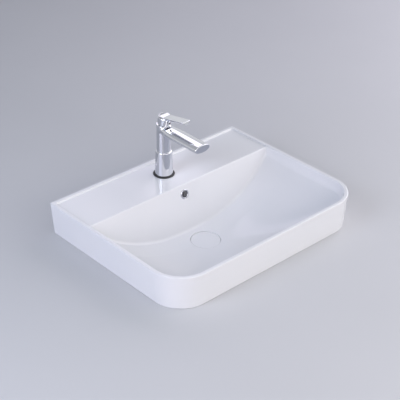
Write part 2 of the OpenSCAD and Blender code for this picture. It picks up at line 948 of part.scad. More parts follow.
module dome_cap() {
  color([0.8, 0.81, 0.84])
    difference() {
      union() {
        on_tap(column_top_z)
          cylinder(h = cap_ring_t, d = column_d);
        intersection() {
          on_tap(pivot_z)
            sphere(r = dome_r);
          on_tap(column_top_z)
            cylinder(h = dome_r, r = dome_r);
        }
      }
      on_tap(pivot_z)
        sphere(r = dome_r - dome_t);
      on_tap(column_top_z - cut)
        cylinder(h = dome_r + cut, r = dome_hole_r);
    }
}

// Flat on top, with a belly that is round across and a flat end
module lever_blade() {
  tip_x = lever_w / 2 - lever_corner_r;
  belly_h = lever_t - lever_edge;
  belly_r = (pow(lever_w / 2, 2) + pow(belly_h, 2)) / (2 * belly_h);
  translate([0, 0, lever_root])
    rotate([-lever_slope, 0, 0])
      intersection() {
        translate([0, 0, -cut])
          linear_extrude(lever_t + cut) {
            translate([-lever_w / 2, lever_corner_r - lever_l])
              square([lever_w, lever_l - lever_corner_r]);
            translate([-tip_x, -lever_l])
              square([2 * tip_x, lever_l]);
            for (side = [-1, 1])
              translate([side * tip_x, lever_corner_r - lever_l])
                circle(r = lever_corner_r);
          }
        translate([0, cut, belly_r])
          rotate([90, 0, 0])
            cylinder(h = lever_l + 2 * cut, r = belly_r);
      }
}

module handle() {
  socket = spindle_w + 2 * running;
  hub_r = hub_d / 2;
  color([0.8, 0.81, 0.84])
    on_pivot()
      difference() {
        union() {
          translate([0, 0, hub_low])
            cylinder(h = hub_h, r = hub_r);
          lever_blade();
        }
        sphere(r = hub_recess_r);
        translate([-socket / 2, -socket / 2, 0])
          cube([socket, socket, spindle_top + loose]);
        translate([0, 0, screw_up])
          rotate([90, 0, 0])
            cylinder(h = hub_r + cut, r = screw_r + running);
        translate([0, -hub_r + plug_t, screw_up])
          rotate([90, 0, 0])
            cylinder(h = plug_t + cut, r = plug_r + running);
      }
}

module grub_screw() {
  color([0.4, 0.4, 0.42])
    on_pivot()
      translate([0, -spindle_w / 2, screw_up])
        rotate([90, 0, 0])
          difference() {
            cylinder(h = screw_l, r = screw_r);
            translate([0, 0, screw_l - hex_depth])
              cylinder(h = hex_depth + cut, r = hex_r, $fn = 6);
          }
}

module indicator_plug() {
  color([0.75, 0.2, 0.2])
    on_pivot()
      translate([0, -hub_d / 2 + plug_t, screw_up])
        rotate([90, 0, 0])
          cylinder(h = plug_t, r = plug_r);
}

module on_aerator(z) {
  translate([0, aerator_y, spout_low_z - aerator_drop + z])
    children();
}

module aerator_housing() {
  color([0.8, 0.81, 0.84])
    on_aerator(0)
      difference() {
        cylinder(h = aerator_h, d = aerator_d);
        translate([0, 0, aerator_lip_h])
          cylinder(h = aerator_h, r = aerator_d / 2 - aerator_skirt);
        translate([0, 0, -cut])
          cylinder(h = aerator_h, r = aerator_d / 2 - 2 * aerator_skirt);
      }
}

module aerator_insert() {
  insert_r = aerator_d / 2 - aerator_skirt - running;
  mesh_holes = 6;
  mesh_r = 1.9;
  middle_r = 1.6;
  color([0.85, 0.85, 0.84])
    on_aerator(aerator_lip_h)
      difference() {
        cylinder(h = aerator_h - aerator_lip_h - seat_gap, r = insert_r);
        translate([0, 0, -cut])
          cylinder(h = aerator_h + cut, r = middle_r);
        for (k = [0:mesh_holes - 1])
          rotate(k * 360 / mesh_holes)
            translate([insert_r / 2 + middle_r / 2, 0, -cut])
              cylinder(h = aerator_h + cut, r = mesh_r);
      }
}

module aerator_washer() {
  color([0.12, 0.12, 0.13])
    on_aerator(aerator_h)
      ring(aerator_washer_t, aerator_d / 2 - loose, aerator_d / 2 - 2 * aerator_skirt);
}

basin_body();
overflow_ring();
waste_cap();
cap_seal();
push_rod();
click_housing();
click_spring();
waste_flange();
flange_seal();
tail_gasket();
slip_washer();
waste_backnut();
tap_body();
base_seal();
fixing_stud();
horseshoe_gasket();
horseshoe_plate();
stud_nut();
cartridge_housing();
cartridge_seals();
fixed_disc();
moving_disc();
spindle_guide();
pivot_pin();
lever_spindle();
cartridge_nut();
dome_cap();
handle();
grub_screw();
indicator_plug();
aerator_housing();
aerator_insert();
aerator_washer();
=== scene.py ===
import math

import bpy
import numpy as np
from mathutils import Matrix, Vector


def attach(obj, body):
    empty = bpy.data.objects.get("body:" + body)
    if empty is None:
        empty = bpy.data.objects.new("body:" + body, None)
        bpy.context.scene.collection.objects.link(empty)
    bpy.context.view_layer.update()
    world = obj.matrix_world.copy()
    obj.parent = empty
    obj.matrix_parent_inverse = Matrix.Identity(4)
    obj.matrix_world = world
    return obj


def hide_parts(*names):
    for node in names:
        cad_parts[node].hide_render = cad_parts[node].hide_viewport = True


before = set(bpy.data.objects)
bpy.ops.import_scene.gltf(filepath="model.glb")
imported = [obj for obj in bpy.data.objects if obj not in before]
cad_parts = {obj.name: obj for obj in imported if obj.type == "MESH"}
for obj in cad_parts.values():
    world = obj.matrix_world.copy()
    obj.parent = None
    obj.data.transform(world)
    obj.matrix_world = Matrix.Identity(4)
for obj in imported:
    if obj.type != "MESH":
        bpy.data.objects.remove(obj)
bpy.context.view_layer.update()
mm = 0.001
scene = bpy.context.scene
print("scene: frame loaded,", len(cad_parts), "CAD nodes")

# Each piece is drawn in millimetres, in the frame's own axes, over the plain solid that it stands for.
made = {}


def standFor(obj, node, body="basin"):
    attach(obj, body)
    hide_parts(node)
    made[node] = obj


def addObject(name, data):
    obj = bpy.data.objects.new(name, data)
    scene.collection.objects.link(obj)
    return obj


def meshFromLists(name, verts, faces):
    mesh = bpy.data.meshes.new(name)
    mesh.from_pydata((verts * mm).tolist(), [], faces)
    return mesh


def smoothPiece(name, verts, faces, normals):
    mesh = meshFromLists(name, verts, faces)
    mesh.polygons.foreach_set("use_smooth", np.ones(len(mesh.polygons), bool))
    mesh.normals_split_custom_set_from_vertices(normals.astype(np.float32))
    mesh.validate()
    return addObject(name, mesh)


def pickStep(step):
    return step


def roundMax(a, b, r):
    # what two solids share, its edge rounded to radius r
    return np.minimum(np.maximum(a, b), -r) + np.hypot(np.maximum(a + r, 0), np.maximum(b + r, 0))


def roundMin(a, b, r):
    # two solids joined, the corner between them filled to radius r
    return np.maximum(np.minimum(a, b), r) - np.hypot(np.maximum(r - a, 0), np.maximum(r - b, 0))


def shared(first, *others):
    # what several solids have in common, its edges sharp
    for other in others:
        first = np.maximum(first, other)
    return first


def trim(body, *cuts):
    # a solid cut by several surfaces, each with the round of its edge
    for surface, r in cuts:
        body = roundMax(body, surface, r)
    return body


def between(body, z, low, high, r):
    # the part of a solid between two heights, both its ends rounded
    return trim(body, (z - high, r), (low - z, r))


def fromNearest(x, v, count, ringRadius):
    # distance from the nearest of count places spaced evenly round the axis
    fromAxis = np.hypot(x, v)
    sector = 2 * math.pi / count
    turned = np.arctan2(v, x)
    turned = turned - sector * np.round(turned / sector)
    return np.hypot(fromAxis * np.cos(turned) - ringRadius, fromAxis * np.sin(turned))


def turnedPlane(u, v, angle):
    # a place's distances along two axes that are turned by the angle
    return u * math.cos(angle) + v * math.sin(angle), -u * math.sin(angle) + v * math.cos(angle)


def threadWave(turns):
    # 0 on a thread's crest and 1 in its groove
    return 0.5 - 0.5 * np.cos(2 * math.pi * turns)


def gridLines(start, stop, coarse, fineBands=(), fine=1):
    # places along one axis in coarse steps, with finer ones inside the bands
    lines = [start]
    while lines[-1] < stop:
        here = lines[-1]
        step = fine if any(low - coarse <= here < high for low, high in fineBands) else coarse
        lines.append(here + step)
    return np.array(lines)


def mirroredLines(half, coarse, fineBands=(), fine=1):
    # the same on both sides of zero
    lines = gridLines(-half, half, coarse, fineBands, fine)
    return (lines - lines[::-1]) / 2


cellCorners = [(i, j, k) for k in (0, 1) for j in (0, 1) for i in (0, 1)]
cellEdges = [(n, n + step) for step in (1, 2, 4) for n in range(8) if not n & step]
meshing = {"pulls": 3, "flattestSlope": 0.04, "longestPull": 1.5, "tiny": 1e-9}


def fieldGradient(field, points, step):
    x, y, z = points.T
    gx = field(x + step, y, z) - field(x - step, y, z)
    gy = field(x, y + step, z) - field(x, y - step, z)
    gz = field(x, y, z + step) - field(x, y, z - step)
    return np.stack([gx, gy, gz], 1) / (2 * step)


def cellPoints(values, inside, xs, ys, zs):
    # the cells that the surface crosses, each with the middle of its crossings
    count = np.zeros([n - 1 for n in values.shape], np.int8)
    for i, j, k in cellCorners:
        count += inside[i:i + count.shape[0], j:j + count.shape[1], k:k + count.shape[2]]
    ci, cj, ck = np.nonzero((count > 0) & (count < 8))
    corner = [values[ci + i, cj + j, ck + k] for i, j, k in cellCorners]
    place = [np.stack([xs[ci + i], ys[cj + j], zs[ck + k]], 1) for i, j, k in cellCorners]
    total = np.zeros((len(ci), 3))
    crossings = np.zeros(len(ci))
    for a, b in cellEdges:
        cut = (corner[a] < 0) != (corner[b] < 0)
        share = np.where(cut, corner[a] / np.where(cut, corner[a] - corner[b], 1), 0)
        total += cut[:, None] * (place[a] + share[:, None] * (place[b] - place[a]))
        crossings += cut
    index = np.full(count.shape, -1, np.int32)
    index[ci, cj, ck] = np.arange(len(ci))
    return total / crossings[:, None], index


def cellQuads(inside, index):
    # a face round each grid edge that the surface crosses, turned to look outward
    quads = []
    for axis in range(3):
        along = [slice(None)] * 3
        ahead = [slice(None)] * 3
        along[axis] = slice(0, -1)
        ahead[axis] = slice(1, None)
        change = inside[tuple(along)] != inside[tuple(ahead)]
        u, v = (axis + 1) % 3, (axis + 2) % 3
        spot = np.stack(np.nonzero(change), 1)
        spot = spot[(spot[:, u] > 0) & (spot[:, v] > 0)]
        spot = spot[(spot[:, u] < index.shape[u]) & (spot[:, v] < index.shape[v])]
        ring = []
        for du, dv in ((-1, -1), (0, -1), (0, 0), (-1, 0)):
            cell = spot.copy()
            cell[:, u] += du
            cell[:, v] += dv
            ring.append(index[cell[:, 0], cell[:, 1], cell[:, 2]])
        ring = np.stack(ring, 1)
        outward = inside[spot[:, 0], spot[:, 1], spot[:, 2]]
        quads.append(np.where(outward[:, None], ring, ring[:, ::-1]))
    return np.concatenate(quads)


def meshFromField(name, field, xs, ys, zs, gradientStep):
    # field is below zero inside the piece; the first points are pulled onto its surface
    values = field(xs[:, None, None], ys[None, :, None], zs[None, None, :])
    inside = values < 0
    points, index = cellPoints(values, inside, xs, ys, zs)
    quads = cellQuads(inside, index)
    for _ in range(meshing["pulls"]):
        slope = fieldGradient(field, points, gradientStep)
        size = np.maximum((slope ** 2).sum(1), meshing["flattestSlope"])
        move = (field(*points.T) / size)[:, None] * slope
        length = np.linalg.norm(move, axis=1, keepdims=True)
        points = points - move * np.minimum(1, meshing["longestPull"] / np.maximum(length, meshing["tiny"]))
    normals = fieldGradient(field, points, gradientStep)
    normals /= np.maximum(np.linalg.norm(normals, axis=1, keepdims=True), meshing["tiny"])
    print("scene:", name, len(points), "points")
    return smoothPiece(name, points, quads.tolist(), normals)


def gridPiece(name, field, grid):
    # meshed on a grid that is finer inside its bands
    step, fine = grid["step"], grid.get("fine", 1)
    xs = mirroredLines(grid["half"], step, grid.get("xFine", ()), fine)
    ys = gridLines(*grid["y"], step, grid.get("yFine", ()), fine)
    zs = gridLines(*grid["z"], step, grid.get("zFine", ()), fine)
    return meshFromField(name, field, xs, ys, zs, grid["normals"])


def roundPiece(name, field, piece):
    # meshed round an upright axis, a little past its two ends
    grid = piece["grid"]
    xs = mirroredLines(grid["half"], grid["across"])
    low, high = piece["low"] - grid["below"], piece["top"] + grid["above"]
    zs = gridLines(low, high, grid["up"], grid.get("zFine", ()), grid.get("fine", 1))
    return meshFromField(name, field, xs, xs + piece["y"], zs, grid["normals"])


# basin
basin = {
    "halfWidth": 300, "frontY": -230, "wallY": 230, "height": 88,
    "cornerRadius": 84, "taper": 7, "skirtWall": 12, "rimWidth": 11,
    "deckZ": 83, "deckUnderZ": 71, "bowlEdgeY": 91, "backSlope": 76,
    "floorZ": -38, "wasteY": 6, "sideRise": 100, "frontRise": 95, "backRise": 3,
    "dishPower": 2.5, "dishBlend": 3, "bowlThickness": 12,
    "recessRadius": 37.5, "recessZ": -48.7, "wasteHoleRadius": 23, "seatZ": -63.7,
    "bossRadius": 45, "bossDrop": 6,
    "channelHalf": 17, "channelDepth": 9, "ductHalf": 23, "ductDepth": 27, "ductFootHeight": 12,
    "channelLowZ": -59.7, "channelHighZ": -53.7, "channelRoof": 5, "overflowZ": 58, "overflowRadius": 10,
    "mouthReach": 4, "tapY": 162, "tapHoleRadius": 17.5, "tapHoleReach": 15,
    "boltX": 140, "boltZ": 30, "boltRadius": 6, "boltReach": 30,
    "shellIn": 0.5, "shellOver": 5, "ductOver": 3, "recessOver": 20, "leanStep": 0.5,
    "round": {
        "rim": 2.6, "foot": 1.4, "deck": 2.0, "crease": 6, "wall": 6, "back": 2.5, "deckBack": 4,
        "hollow": 8, "hollowRoof": 9, "shell": 9, "shellSide": 2, "shellJoin": 5,
        "boss": 2, "bossTop": 1, "bossJoin": 4, "duct": 5, "ductFoot": 3, "ductJoin": 4,
        "recess": 1, "seat": 1.2, "wasteHole": 0.8, "channel": 0.6, "tapHole": 1, "bolt": 0.8,
    },
    "grid": {
        "step": pickStep(2.6), "fine": pickStep(1.2), "normals": 0.15,
        "half": 303, "y": (-233.3, 233), "z": (-67.3, 91), "xFine": [(-301, -284), (-42, 42), (284, 301)],
        "yFine": [(-232, -214), (-34, 46), (84, 98), (214, 232)], "zFine": [(-51, -35), (74, 90)],
    },
}
slope = math.radians(basin["backSlope"])


def planDistance(x, y):
    # distance outside the rim line, which has round corners at the front only
    b = basin
    qx = np.abs(x) - (b["halfWidth"] - b["cornerRadius"])
    qy = (b["frontY"] + b["cornerRadius"]) - y
    outer = np.hypot(np.maximum(qx, 0), np.maximum(qy, 0))
    return outer + np.minimum(np.maximum(qx, qy), 0) - b["cornerRadius"]


def dishHeight(x, y):
    b = basin
    innerHalf = b["halfWidth"] - b["rimWidth"]
    innerFront = b["frontY"] + b["rimWidth"]
    footY = b["bowlEdgeY"] - (b["deckZ"] - b["floorZ"]) / math.tan(slope)
    side = b["sideRise"] * (np.abs(x) / innerHalf) ** b["dishPower"]
    share = np.maximum(b["wasteY"] - y, 0) / (b["wasteY"] - innerFront)
    front = b["frontRise"] * share ** b["dishPower"]
    back = b["backRise"] * np.maximum(y - b["wasteY"], 0) / (footY - b["wasteY"])
    rise = (side ** b["dishBlend"] + front ** b["dishBlend"]) ** (1 / b["dishBlend"])
    return b["floorZ"] + back + rise


def aboveDish(x, y, z):
    # below zero above the dish, and measured square to it
    step = basin["leanStep"]
    dish = dishHeight(x, y)
    lean = np.hypot((dishHeight(x + step, y) - dish) / step, (dishHeight(x, y + step) - dish) / step)
    return (dish - z) / np.sqrt(1 + lean ** 2)


def beforeWall(y, z):
    # below zero in front of the bowl's sloping back wall
    return (y - basin["bowlEdgeY"]) * math.sin(slope) - (z - basin["deckZ"]) * math.cos(slope)


def skirtField(plan, y, z):
    b, r = basin, basin["round"]
    taper = b["taper"] * (1 - z / b["height"])
    back = y - b["wallY"]
    outside = trim(plan + taper, (back, r["back"]), (z - b["height"], r["rim"]), (-z, r["foot"]))
    hollow = trim(plan + taper + b["skirtWall"], (back + b["skirtWall"], r["hollow"]),
                  (z - b["deckUnderZ"], r["hollowRoof"]))
    return roundMax(outside, -hollow, r["foot"])


def ductField(x, y, z, wall):
    # the box behind the bowl that holds the overflow channel, and its foot under the waste
    b, r = basin, basin["round"]
    section = roundMax(np.abs(x) - b["ductHalf"], wall - b["ductDepth"], r["duct"])
    duct = shared(section, -wall, b["seatZ"] - z, z - b["deckUnderZ"] - b["ductOver"])
    foot = roundMax(section, b["seatZ"] - z, r["boss"])
    foot = shared(foot, z - b["seatZ"] - b["ductFootHeight"], b["wasteY"] - y)
    return roundMin(duct, foot, r["ductFoot"])


def channelField(x, y, z, wall):
    # the overflow's way down inside the ceramic: a mouth, an upright run and a level run to the waste
    b = basin
    channel = np.maximum(np.abs(x) - b["channelHalf"], wall - b["bowlThickness"] - b["channelDepth"])
    channel = np.maximum(channel, b["channelLowZ"] - z)
    upright = shared(channel, b["bowlThickness"] - wall, z - b["deckUnderZ"] + b["channelRoof"])
    level = shared(channel, z - b["channelHighZ"], b["wasteY"] - y)
    mouthY = b["bowlEdgeY"] - (b["deckZ"] - b["overflowZ"]) / math.tan(slope)
    up = (y - mouthY) * math.cos(slope) + (z - b["overflowZ"]) * math.sin(slope)
    mouth = np.maximum(np.hypot(x, up) - b["overflowRadius"], wall - b["bowlThickness"] - b["mouthReach"])
    return np.minimum(np.minimum(upright, level), mouth)


def basinField(x, y, z):
    b, r = basin, basin["round"]
    plan = planDistance(x, y)
    dish = aboveDish(x, y, z)
    wall = beforeWall(y, z)
    fromWaste = np.hypot(x, y - b["wasteY"])
    # the bowl's shell hangs in the skirt, with the boss under the waste and the duct behind
    shell = trim(dish - b["bowlThickness"], (wall - b["bowlThickness"], r["shell"]),
                 (plan + b["rimWidth"] + b["shellIn"], r["shellSide"]))
    shell = np.maximum(shell, z - b["deckUnderZ"] - b["shellOver"])
    solid = roundMin(skirtField(plan, y, z), shell, r["shellJoin"])
    boss = trim(fromWaste - b["bossRadius"], (b["seatZ"] - z, r["boss"]),
                (z - b["floorZ"] + b["bossDrop"], r["bossTop"]))
    solid = roundMin(solid, boss, r["bossJoin"])
    solid = roundMin(solid, ductField(x, y, z, wall), r["ductJoin"])
    # cut from above: the bowl and the space over the deck
    rimSide = plan + b["rimWidth"]
    bowl = trim(dish, (wall, r["crease"]), (rimSide, r["wall"]))
    deck = trim(rimSide, (y - b["wallY"] + b["rimWidth"], r["deckBack"]), (b["deckZ"] - z, r["rim"]))
    # then the waste's recess and hole, the overflow, the tap hole and the two bolt holes
    recess = roundMax(fromWaste - b["recessRadius"], b["recessZ"] - z, r["recess"])
    tapHole = np.hypot(x, y - b["tapY"]) - b["tapHoleRadius"]
    bolt = np.hypot(np.abs(x) - b["boltX"], z - b["boltZ"]) - b["boltRadius"]
    cuts = {  # by the name of the round along their edges
        "rim": roundMin(bowl, deck, r["deck"]),
        "seat": np.maximum(recess, z - b["floorZ"] - b["recessOver"]),
        "wasteHole": np.maximum(fromWaste - b["wasteHoleRadius"], z - b["floorZ"]),
        "channel": channelField(x, y, z, wall),
        "tapHole": np.maximum(tapHole, b["deckUnderZ"] - b["tapHoleReach"] - z),
        "bolt": np.maximum(bolt, b["wallY"] - b["boltReach"] - y),
    }
    return trim(solid, *((-cut, r[name]) for name, cut in cuts.items()))


standFor(gridPiece("basinGlaze", basinField, basin["grid"]), "basin_body")

# tap body
tap = {
    "y": 162, "baseZ": 86, "baseRadius": 23, "shoulderZ": 150, "shoulderRadius": 20.5,
    "columnRadius": 18, "topZ": 222, "shoulderRound": 2.2, "edgeRound": 0.9,
    "spoutZ": 211, "spoutTipY": 21, "spoutHalfWidth": 23, "spoutHalfHeight": 10, "tipRound": 1.3,
    "rootHalfWidth": 17, "flareLength": 52, "rootRound": 2.5, "ovalPower": 2.25,
    "chamberRadius": 13.5, "chamberZ": 190, "spigotRadius": 16, "spigotLowZ": 74, "boreRound": 0.5,
    "aeratorY": 37, "aeratorRadius": 11.7, "aeratorSeatZ": 210,
    "inletX": 7.6, "inletY": 165.4, "inletRadius": 4.5, "inletTopZ": 88,
    "studY": 152.5, "studRadius": 4.05, "upperFoot": 10, "spigotOver": 5, "leastLean": 0.02,
    "grid": {
        "step": pickStep(1.25), "fine": 0.8, "normals": 0.06, "half": 25, "y": (18.5, 187),
        "z": (72.3, 224.5), "yFine": [(19, 25), (22, 52)], "zFine": [(84, 88), (147, 152), (196, 224)],
    },
}


def columnField(fromAxis, z):
    t = tap
    climb = (z - t["baseZ"]) / (t["shoulderZ"] - t["baseZ"])
    lower = fromAxis - (t["baseRadius"] + (t["shoulderRadius"] - t["baseRadius"]) * climb)
    lower = trim(lower, (z - t["shoulderZ"], t["shoulderRound"]), (t["baseZ"] - z, t["edgeRound"]))
    upper = np.maximum(fromAxis - t["columnRadius"], t["baseZ"] + t["upperFoot"] - z)
    upper = roundMax(upper, z - t["topZ"], t["edgeRound"])
    spigot = np.maximum(fromAxis - t["spigotRadius"], z - t["baseZ"] - t["spigotOver"])
    spigot = roundMax(spigot, t["spigotLowZ"] - z, t["edgeRound"])
    return roundMin(np.minimum(lower, spigot), upper, t["edgeRound"])


def spoutField(x, y, z):
    # a flat oval that is narrow where it leaves the column
    t = tap
    out = np.clip((t["y"] - y) / t["flareLength"], 0, 1)
    half = t["rootHalfWidth"] + (t["spoutHalfWidth"] - t["rootHalfWidth"]) * out * out * (3 - 2 * out)
    u = np.abs(x) / half
    v = np.abs(z - t["spoutZ"]) / t["spoutHalfHeight"]
    p = t["ovalPower"]
    size = (u ** p + v ** p + meshing["tiny"]) ** (1 / p)
    lean = np.hypot(u ** (p - 1) / half, v ** (p - 1) / t["spoutHalfHeight"]) * size ** (1 - p)
    spout = (size - 1) / np.maximum(lean, t["leastLean"])
    spout = roundMax(spout, t["spoutTipY"] - y, t["tipRound"])
    return np.maximum(spout, y - t["y"])


def tapField(x, y, z):
    t = tap
    fromAxis = np.hypot(x, y - t["y"])
    body = roundMin(columnField(fromAxis, z), spoutField(x, y, z), t["rootRound"])
    chamber = np.maximum(fromAxis - t["chamberRadius"], t["chamberZ"] - z)
    outlet = np.hypot(x, y - t["aeratorY"]) - t["aeratorRadius"]
    outlet = np.maximum(outlet, z - t["aeratorSeatZ"])
    inlet = np.hypot(np.abs(x) - t["inletX"], y - t["inletY"]) - t["inletRadius"]
    stud = np.hypot(x, y - t["studY"]) - t["studRadius"]
    ports = np.maximum(np.minimum(inlet, stud), z - t["inletTopZ"])
    return trim(body, *((-bore, t["boreRound"]) for bore in (chamber, outlet, ports)))


standFor(gridPiece("tapChrome", tapField, tap["grid"]), "tap_body")

# lever handle: a leaning hub with a blade that is flat on top and round below
handle = {
    "pivotY": 162, "pivotZ": 208.8, "lean": 11, "hubLow": 19.504, "hubHeight": 19,
    "hubRadius": 18, "hubRound": 2.2, "hubFootRound": 0.7,
    "leverLength": 82, "leverWidth": 26, "leverThickness": 9, "leverSlope": 22,
    "leverCorner": 6, "leverEdge": 1.2, "leverRound": 1.2, "bellyRound": 0.8, "neckRound": 5,
    "recessRadius": 21.4, "recessRound": 0.4, "socketHalf": 3.35, "socketTop": 31.2,
    "screwRise": 8, "plugRadius": 3.45, "plugDepth": 2.2, "socketRound": 0.3,
    "grid": {
        "step": pickStep(0.8), "normals": 0.06, "half": 19.4, "y": (73, 178), "z": (222, 264.5),
    },
}
handleLean = math.radians(handle["lean"])


def leverField(x, v, w):
    h = handle
    tilt = math.radians(-h["leverSlope"])
    root = h["hubLow"] + h["hubHeight"] - h["leverThickness"]
    inward, up = turnedPlane(v, w - root, tilt)
    along = -inward
    half = h["leverWidth"] / 2
    outline = roundMax(np.abs(x) - half, along - h["leverLength"], h["leverCorner"])
    bellyHeight = h["leverThickness"] - h["leverEdge"]
    bellyRadius = (half ** 2 + bellyHeight ** 2) / (2 * bellyHeight)
    belly = np.hypot(x, up - bellyRadius) - bellyRadius
    blade = roundMax(outline, roundMax(up - h["leverThickness"], belly, h["bellyRound"]), h["leverRound"])
    return np.maximum(blade, -along)


def handleField(x, y, z):
    # in the handle's own frame: origin on the pivot, w along the spindle
    h = handle
    v, w = turnedPlane(y - h["pivotY"], z - h["pivotZ"], handleLean)
    hub = trim(np.hypot(x, v) - h["hubRadius"], (w - h["hubLow"] - h["hubHeight"], h["hubRound"]),
               (h["hubLow"] - w, h["hubFootRound"]))
    body = roundMin(hub, leverField(x, v, w), h["neckRound"])
    body = np.maximum(body, h["hubLow"] - w)
    recess = np.sqrt(x * x + v * v + w * w) - h["recessRadius"]
    body = roundMax(body, -recess, h["recessRound"])
    socket = np.maximum(np.maximum(np.abs(x), np.abs(v)) - h["socketHalf"], w - h["socketTop"])
    plug = np.hypot(x, w - h["hubLow"] - h["screwRise"]) - h["plugRadius"]
    plug = np.maximum(plug, v + h["hubRadius"] - h["plugDepth"])
    return roundMax(body, -np.minimum(socket, plug), h["socketRound"])


standFor(gridPiece("handleChrome", handleField, handle["grid"]), "handle", "lever")

# waste: flange and tail in one piece, with a wound thread and the overflow slots
waste = {
    "y": 6, "low": -126.7, "top": -43.7, "flangeRadius": 32, "flangeLow": -47.2, "sealRadius": 24,
    "sealLow": -45.6, "tailRadius": 20.95, "tailUnder": 1, "boreRadius": 17.5,
    "slotHalf": 6, "slotLow": -59.7, "slotHigh": -53.7,
    "threadTop": -83.5, "threadDepth": 0.9, "pitch": 2.309, "fadeAbove": 2, "fadeBelow": 1.5,
    "edgeRound": 0.9, "flangeRound": 0.5, "joinRound": 0.8, "boreRound": 0.6, "sealRound": 0.4,
    "slotRound": 1,
    "grid": {"half": 33, "across": pickStep(1.5), "up": 1.1, "zFine": [(-127, -80)],
             "fine": pickStep(0.42), "below": 1.3, "above": 1.7, "normals": 0.06},
}


def wasteField(x, y, z):
    w = waste
    fromAxis = np.hypot(x, y - w["y"])
    around = np.arctan2(y - w["y"], x) / (2 * math.pi)
    wave = threadWave(z / w["pitch"] - around)
    fade = np.clip((w["threadTop"] - z) / w["fadeAbove"], 0, 1)
    fade = fade * np.clip((z - w["low"]) / w["fadeBelow"], 0, 1)
    tail = fromAxis - w["tailRadius"] + w["threadDepth"] * wave * fade
    tail = roundMax(tail, w["low"] - z, w["edgeRound"])
    tail = np.maximum(tail, z - w["top"] + w["tailUnder"])
    flange = trim(fromAxis - w["flangeRadius"], (z - w["top"], w["edgeRound"]),
                  (w["flangeLow"] - z, w["flangeRound"]))
    body = roundMin(tail, flange, w["joinRound"])
    seal = np.maximum(fromAxis - w["sealRadius"], w["sealLow"] - z)
    across = np.minimum(np.abs(x), np.abs(y - w["y"])) - w["slotHalf"]
    slot = roundMax(np.maximum(across, w["slotLow"] - z), z - w["slotHigh"], w["slotRound"])
    return trim(body, (w["boreRadius"] - fromAxis, w["boreRound"]), (-seal, w["sealRound"]),
                (-slot, w["sealRound"]))


standFor(roundPiece("wasteTail", wasteField, waste), "waste_flange")

# back nut with finger grooves
backnut = {
    "y": 6, "low": -80.7, "top": -69.7, "radius": 31, "bore": 21, "grooves": 8, "grooveAt": 33,
    "grooveRadius": 5, "grooveTop": -71.7, "edgeRound": 1.2, "boreRound": 0.6,
    "grid": {
        "half": 32, "across": pickStep(1.1), "up": 0.8, "below": 1, "above": 1.2, "normals": 0.08,
    },
}


def backnutField(x, y, z):
    n = backnut
    v = y - n["y"]
    fromAxis = np.hypot(x, v)
    body = between(fromAxis - n["radius"], z, n["low"], n["top"], n["edgeRound"])
    groove = fromNearest(x, v, n["grooves"], n["grooveAt"])
    groove = np.maximum(groove - n["grooveRadius"], z - n["grooveTop"])
    return trim(body, (-groove, n["edgeRound"]), (n["bore"] - fromAxis, n["boreRound"]))


standFor(roundPiece("wasteBackNut", backnutField, backnut), "waste_backnut")

# hexagonal nut on the fixing stud, its corners along x
studNut = {
    "y": 152.5, "low": 55.5, "top": 65.5, "across": 13, "bore": 4.05, "chamferRadius": 7.05,
    "chamferSlope": 1.7, "chamferShare": 0.5, "faceRound": 0.3, "chamferRound": 0.2, "boreRound": 0.4,
    "grid": {"half": 8.2, "across": 0.55, "up": 0.55, "below": 0.7, "above": 0.9, "normals": 0.04},
}


def studNutField(x, y, z):
    n = studNut
    v = y - n["y"]
    fromAxis = np.hypot(x, v)
    cos30, sin30 = 0.866, 0.5
    flats = np.maximum(np.abs(cos30 * x + sin30 * v), np.abs(cos30 * x - sin30 * v))
    flats = np.maximum(np.abs(v), flats)
    body = between(flats - n["across"] / 2, z, n["low"], n["top"], n["faceRound"])
    end = np.minimum(z - n["low"], n["top"] - z)
    chamfer = (fromAxis - n["chamferRadius"] - n["chamferSlope"] * end) * n["chamferShare"]
    return trim(body, (chamfer, n["chamferRound"]), (n["bore"] - fromAxis, n["boreRound"]))


standFor(roundPiece("studHexNut", studNutField, studNut), "stud_nut")

# horseshoe gasket and plate under the deck
horseshoe = {
    "y": 162, "radius": 26, "slotHalf": 13.6, "slotFront": 159.5, "slotRound": 2, "endRound": 1.2,
    "studY": 152.5, "studRadius": 4.2,
    "layers": {
        "horseshoeRubber": ("horseshoe_gasket", "horseshoe_rubber", 68, 71, 0.6),
        "horseshoeSteel": ("horseshoe_plate", "horseshoe_steel", 65.5, 68, 0.35),
    },
    "grid": {"half": 27, "across": 1.1, "up": 0.5, "below": 0.8, "above": 1, "normals": 0.05},
}


def horseshoePiece(name, low, high, edgeRound):
    def field(x, y, z):
        h = horseshoe
        opening = roundMax(np.abs(x) - h["slotHalf"], h["slotFront"] - y, h["slotRound"])
        plan = roundMax(np.hypot(x, y - h["y"]) - h["radius"], -opening, h["endRound"])
        plan = np.maximum(plan, h["studRadius"] - np.hypot(x, y - h["studY"]))
        return between(plan, z, low, high, edgeRound)

    return roundPiece(name, field, {**horseshoe, "low": low, "top": high})


for name, (node, slot, *sizes) in horseshoe["layers"].items():
    standFor(horseshoePiece(name, *sizes), node)

# housing of the push-open mechanism, held in the tail by three arms
click = {
    "y": 6, "low": -78.4, "top": -50.4, "radius": 9.5, "floorZ": -75.4, "guideZ": -56.4,
    "armAngles": (90, 210, 330), "armHalf": 2, "armTop": -68.4, "armReach": 17.45, "armRound": 0.8,
    "chamberRadius": 7.2, "boreRadius": 5.05, "edgeRound": 0.5, "boreRound": 0.3,
    "grid": {"half": 18.3, "across": 0.8, "up": 0.8, "below": 0.7, "above": 0.9, "normals": 0.05},
}


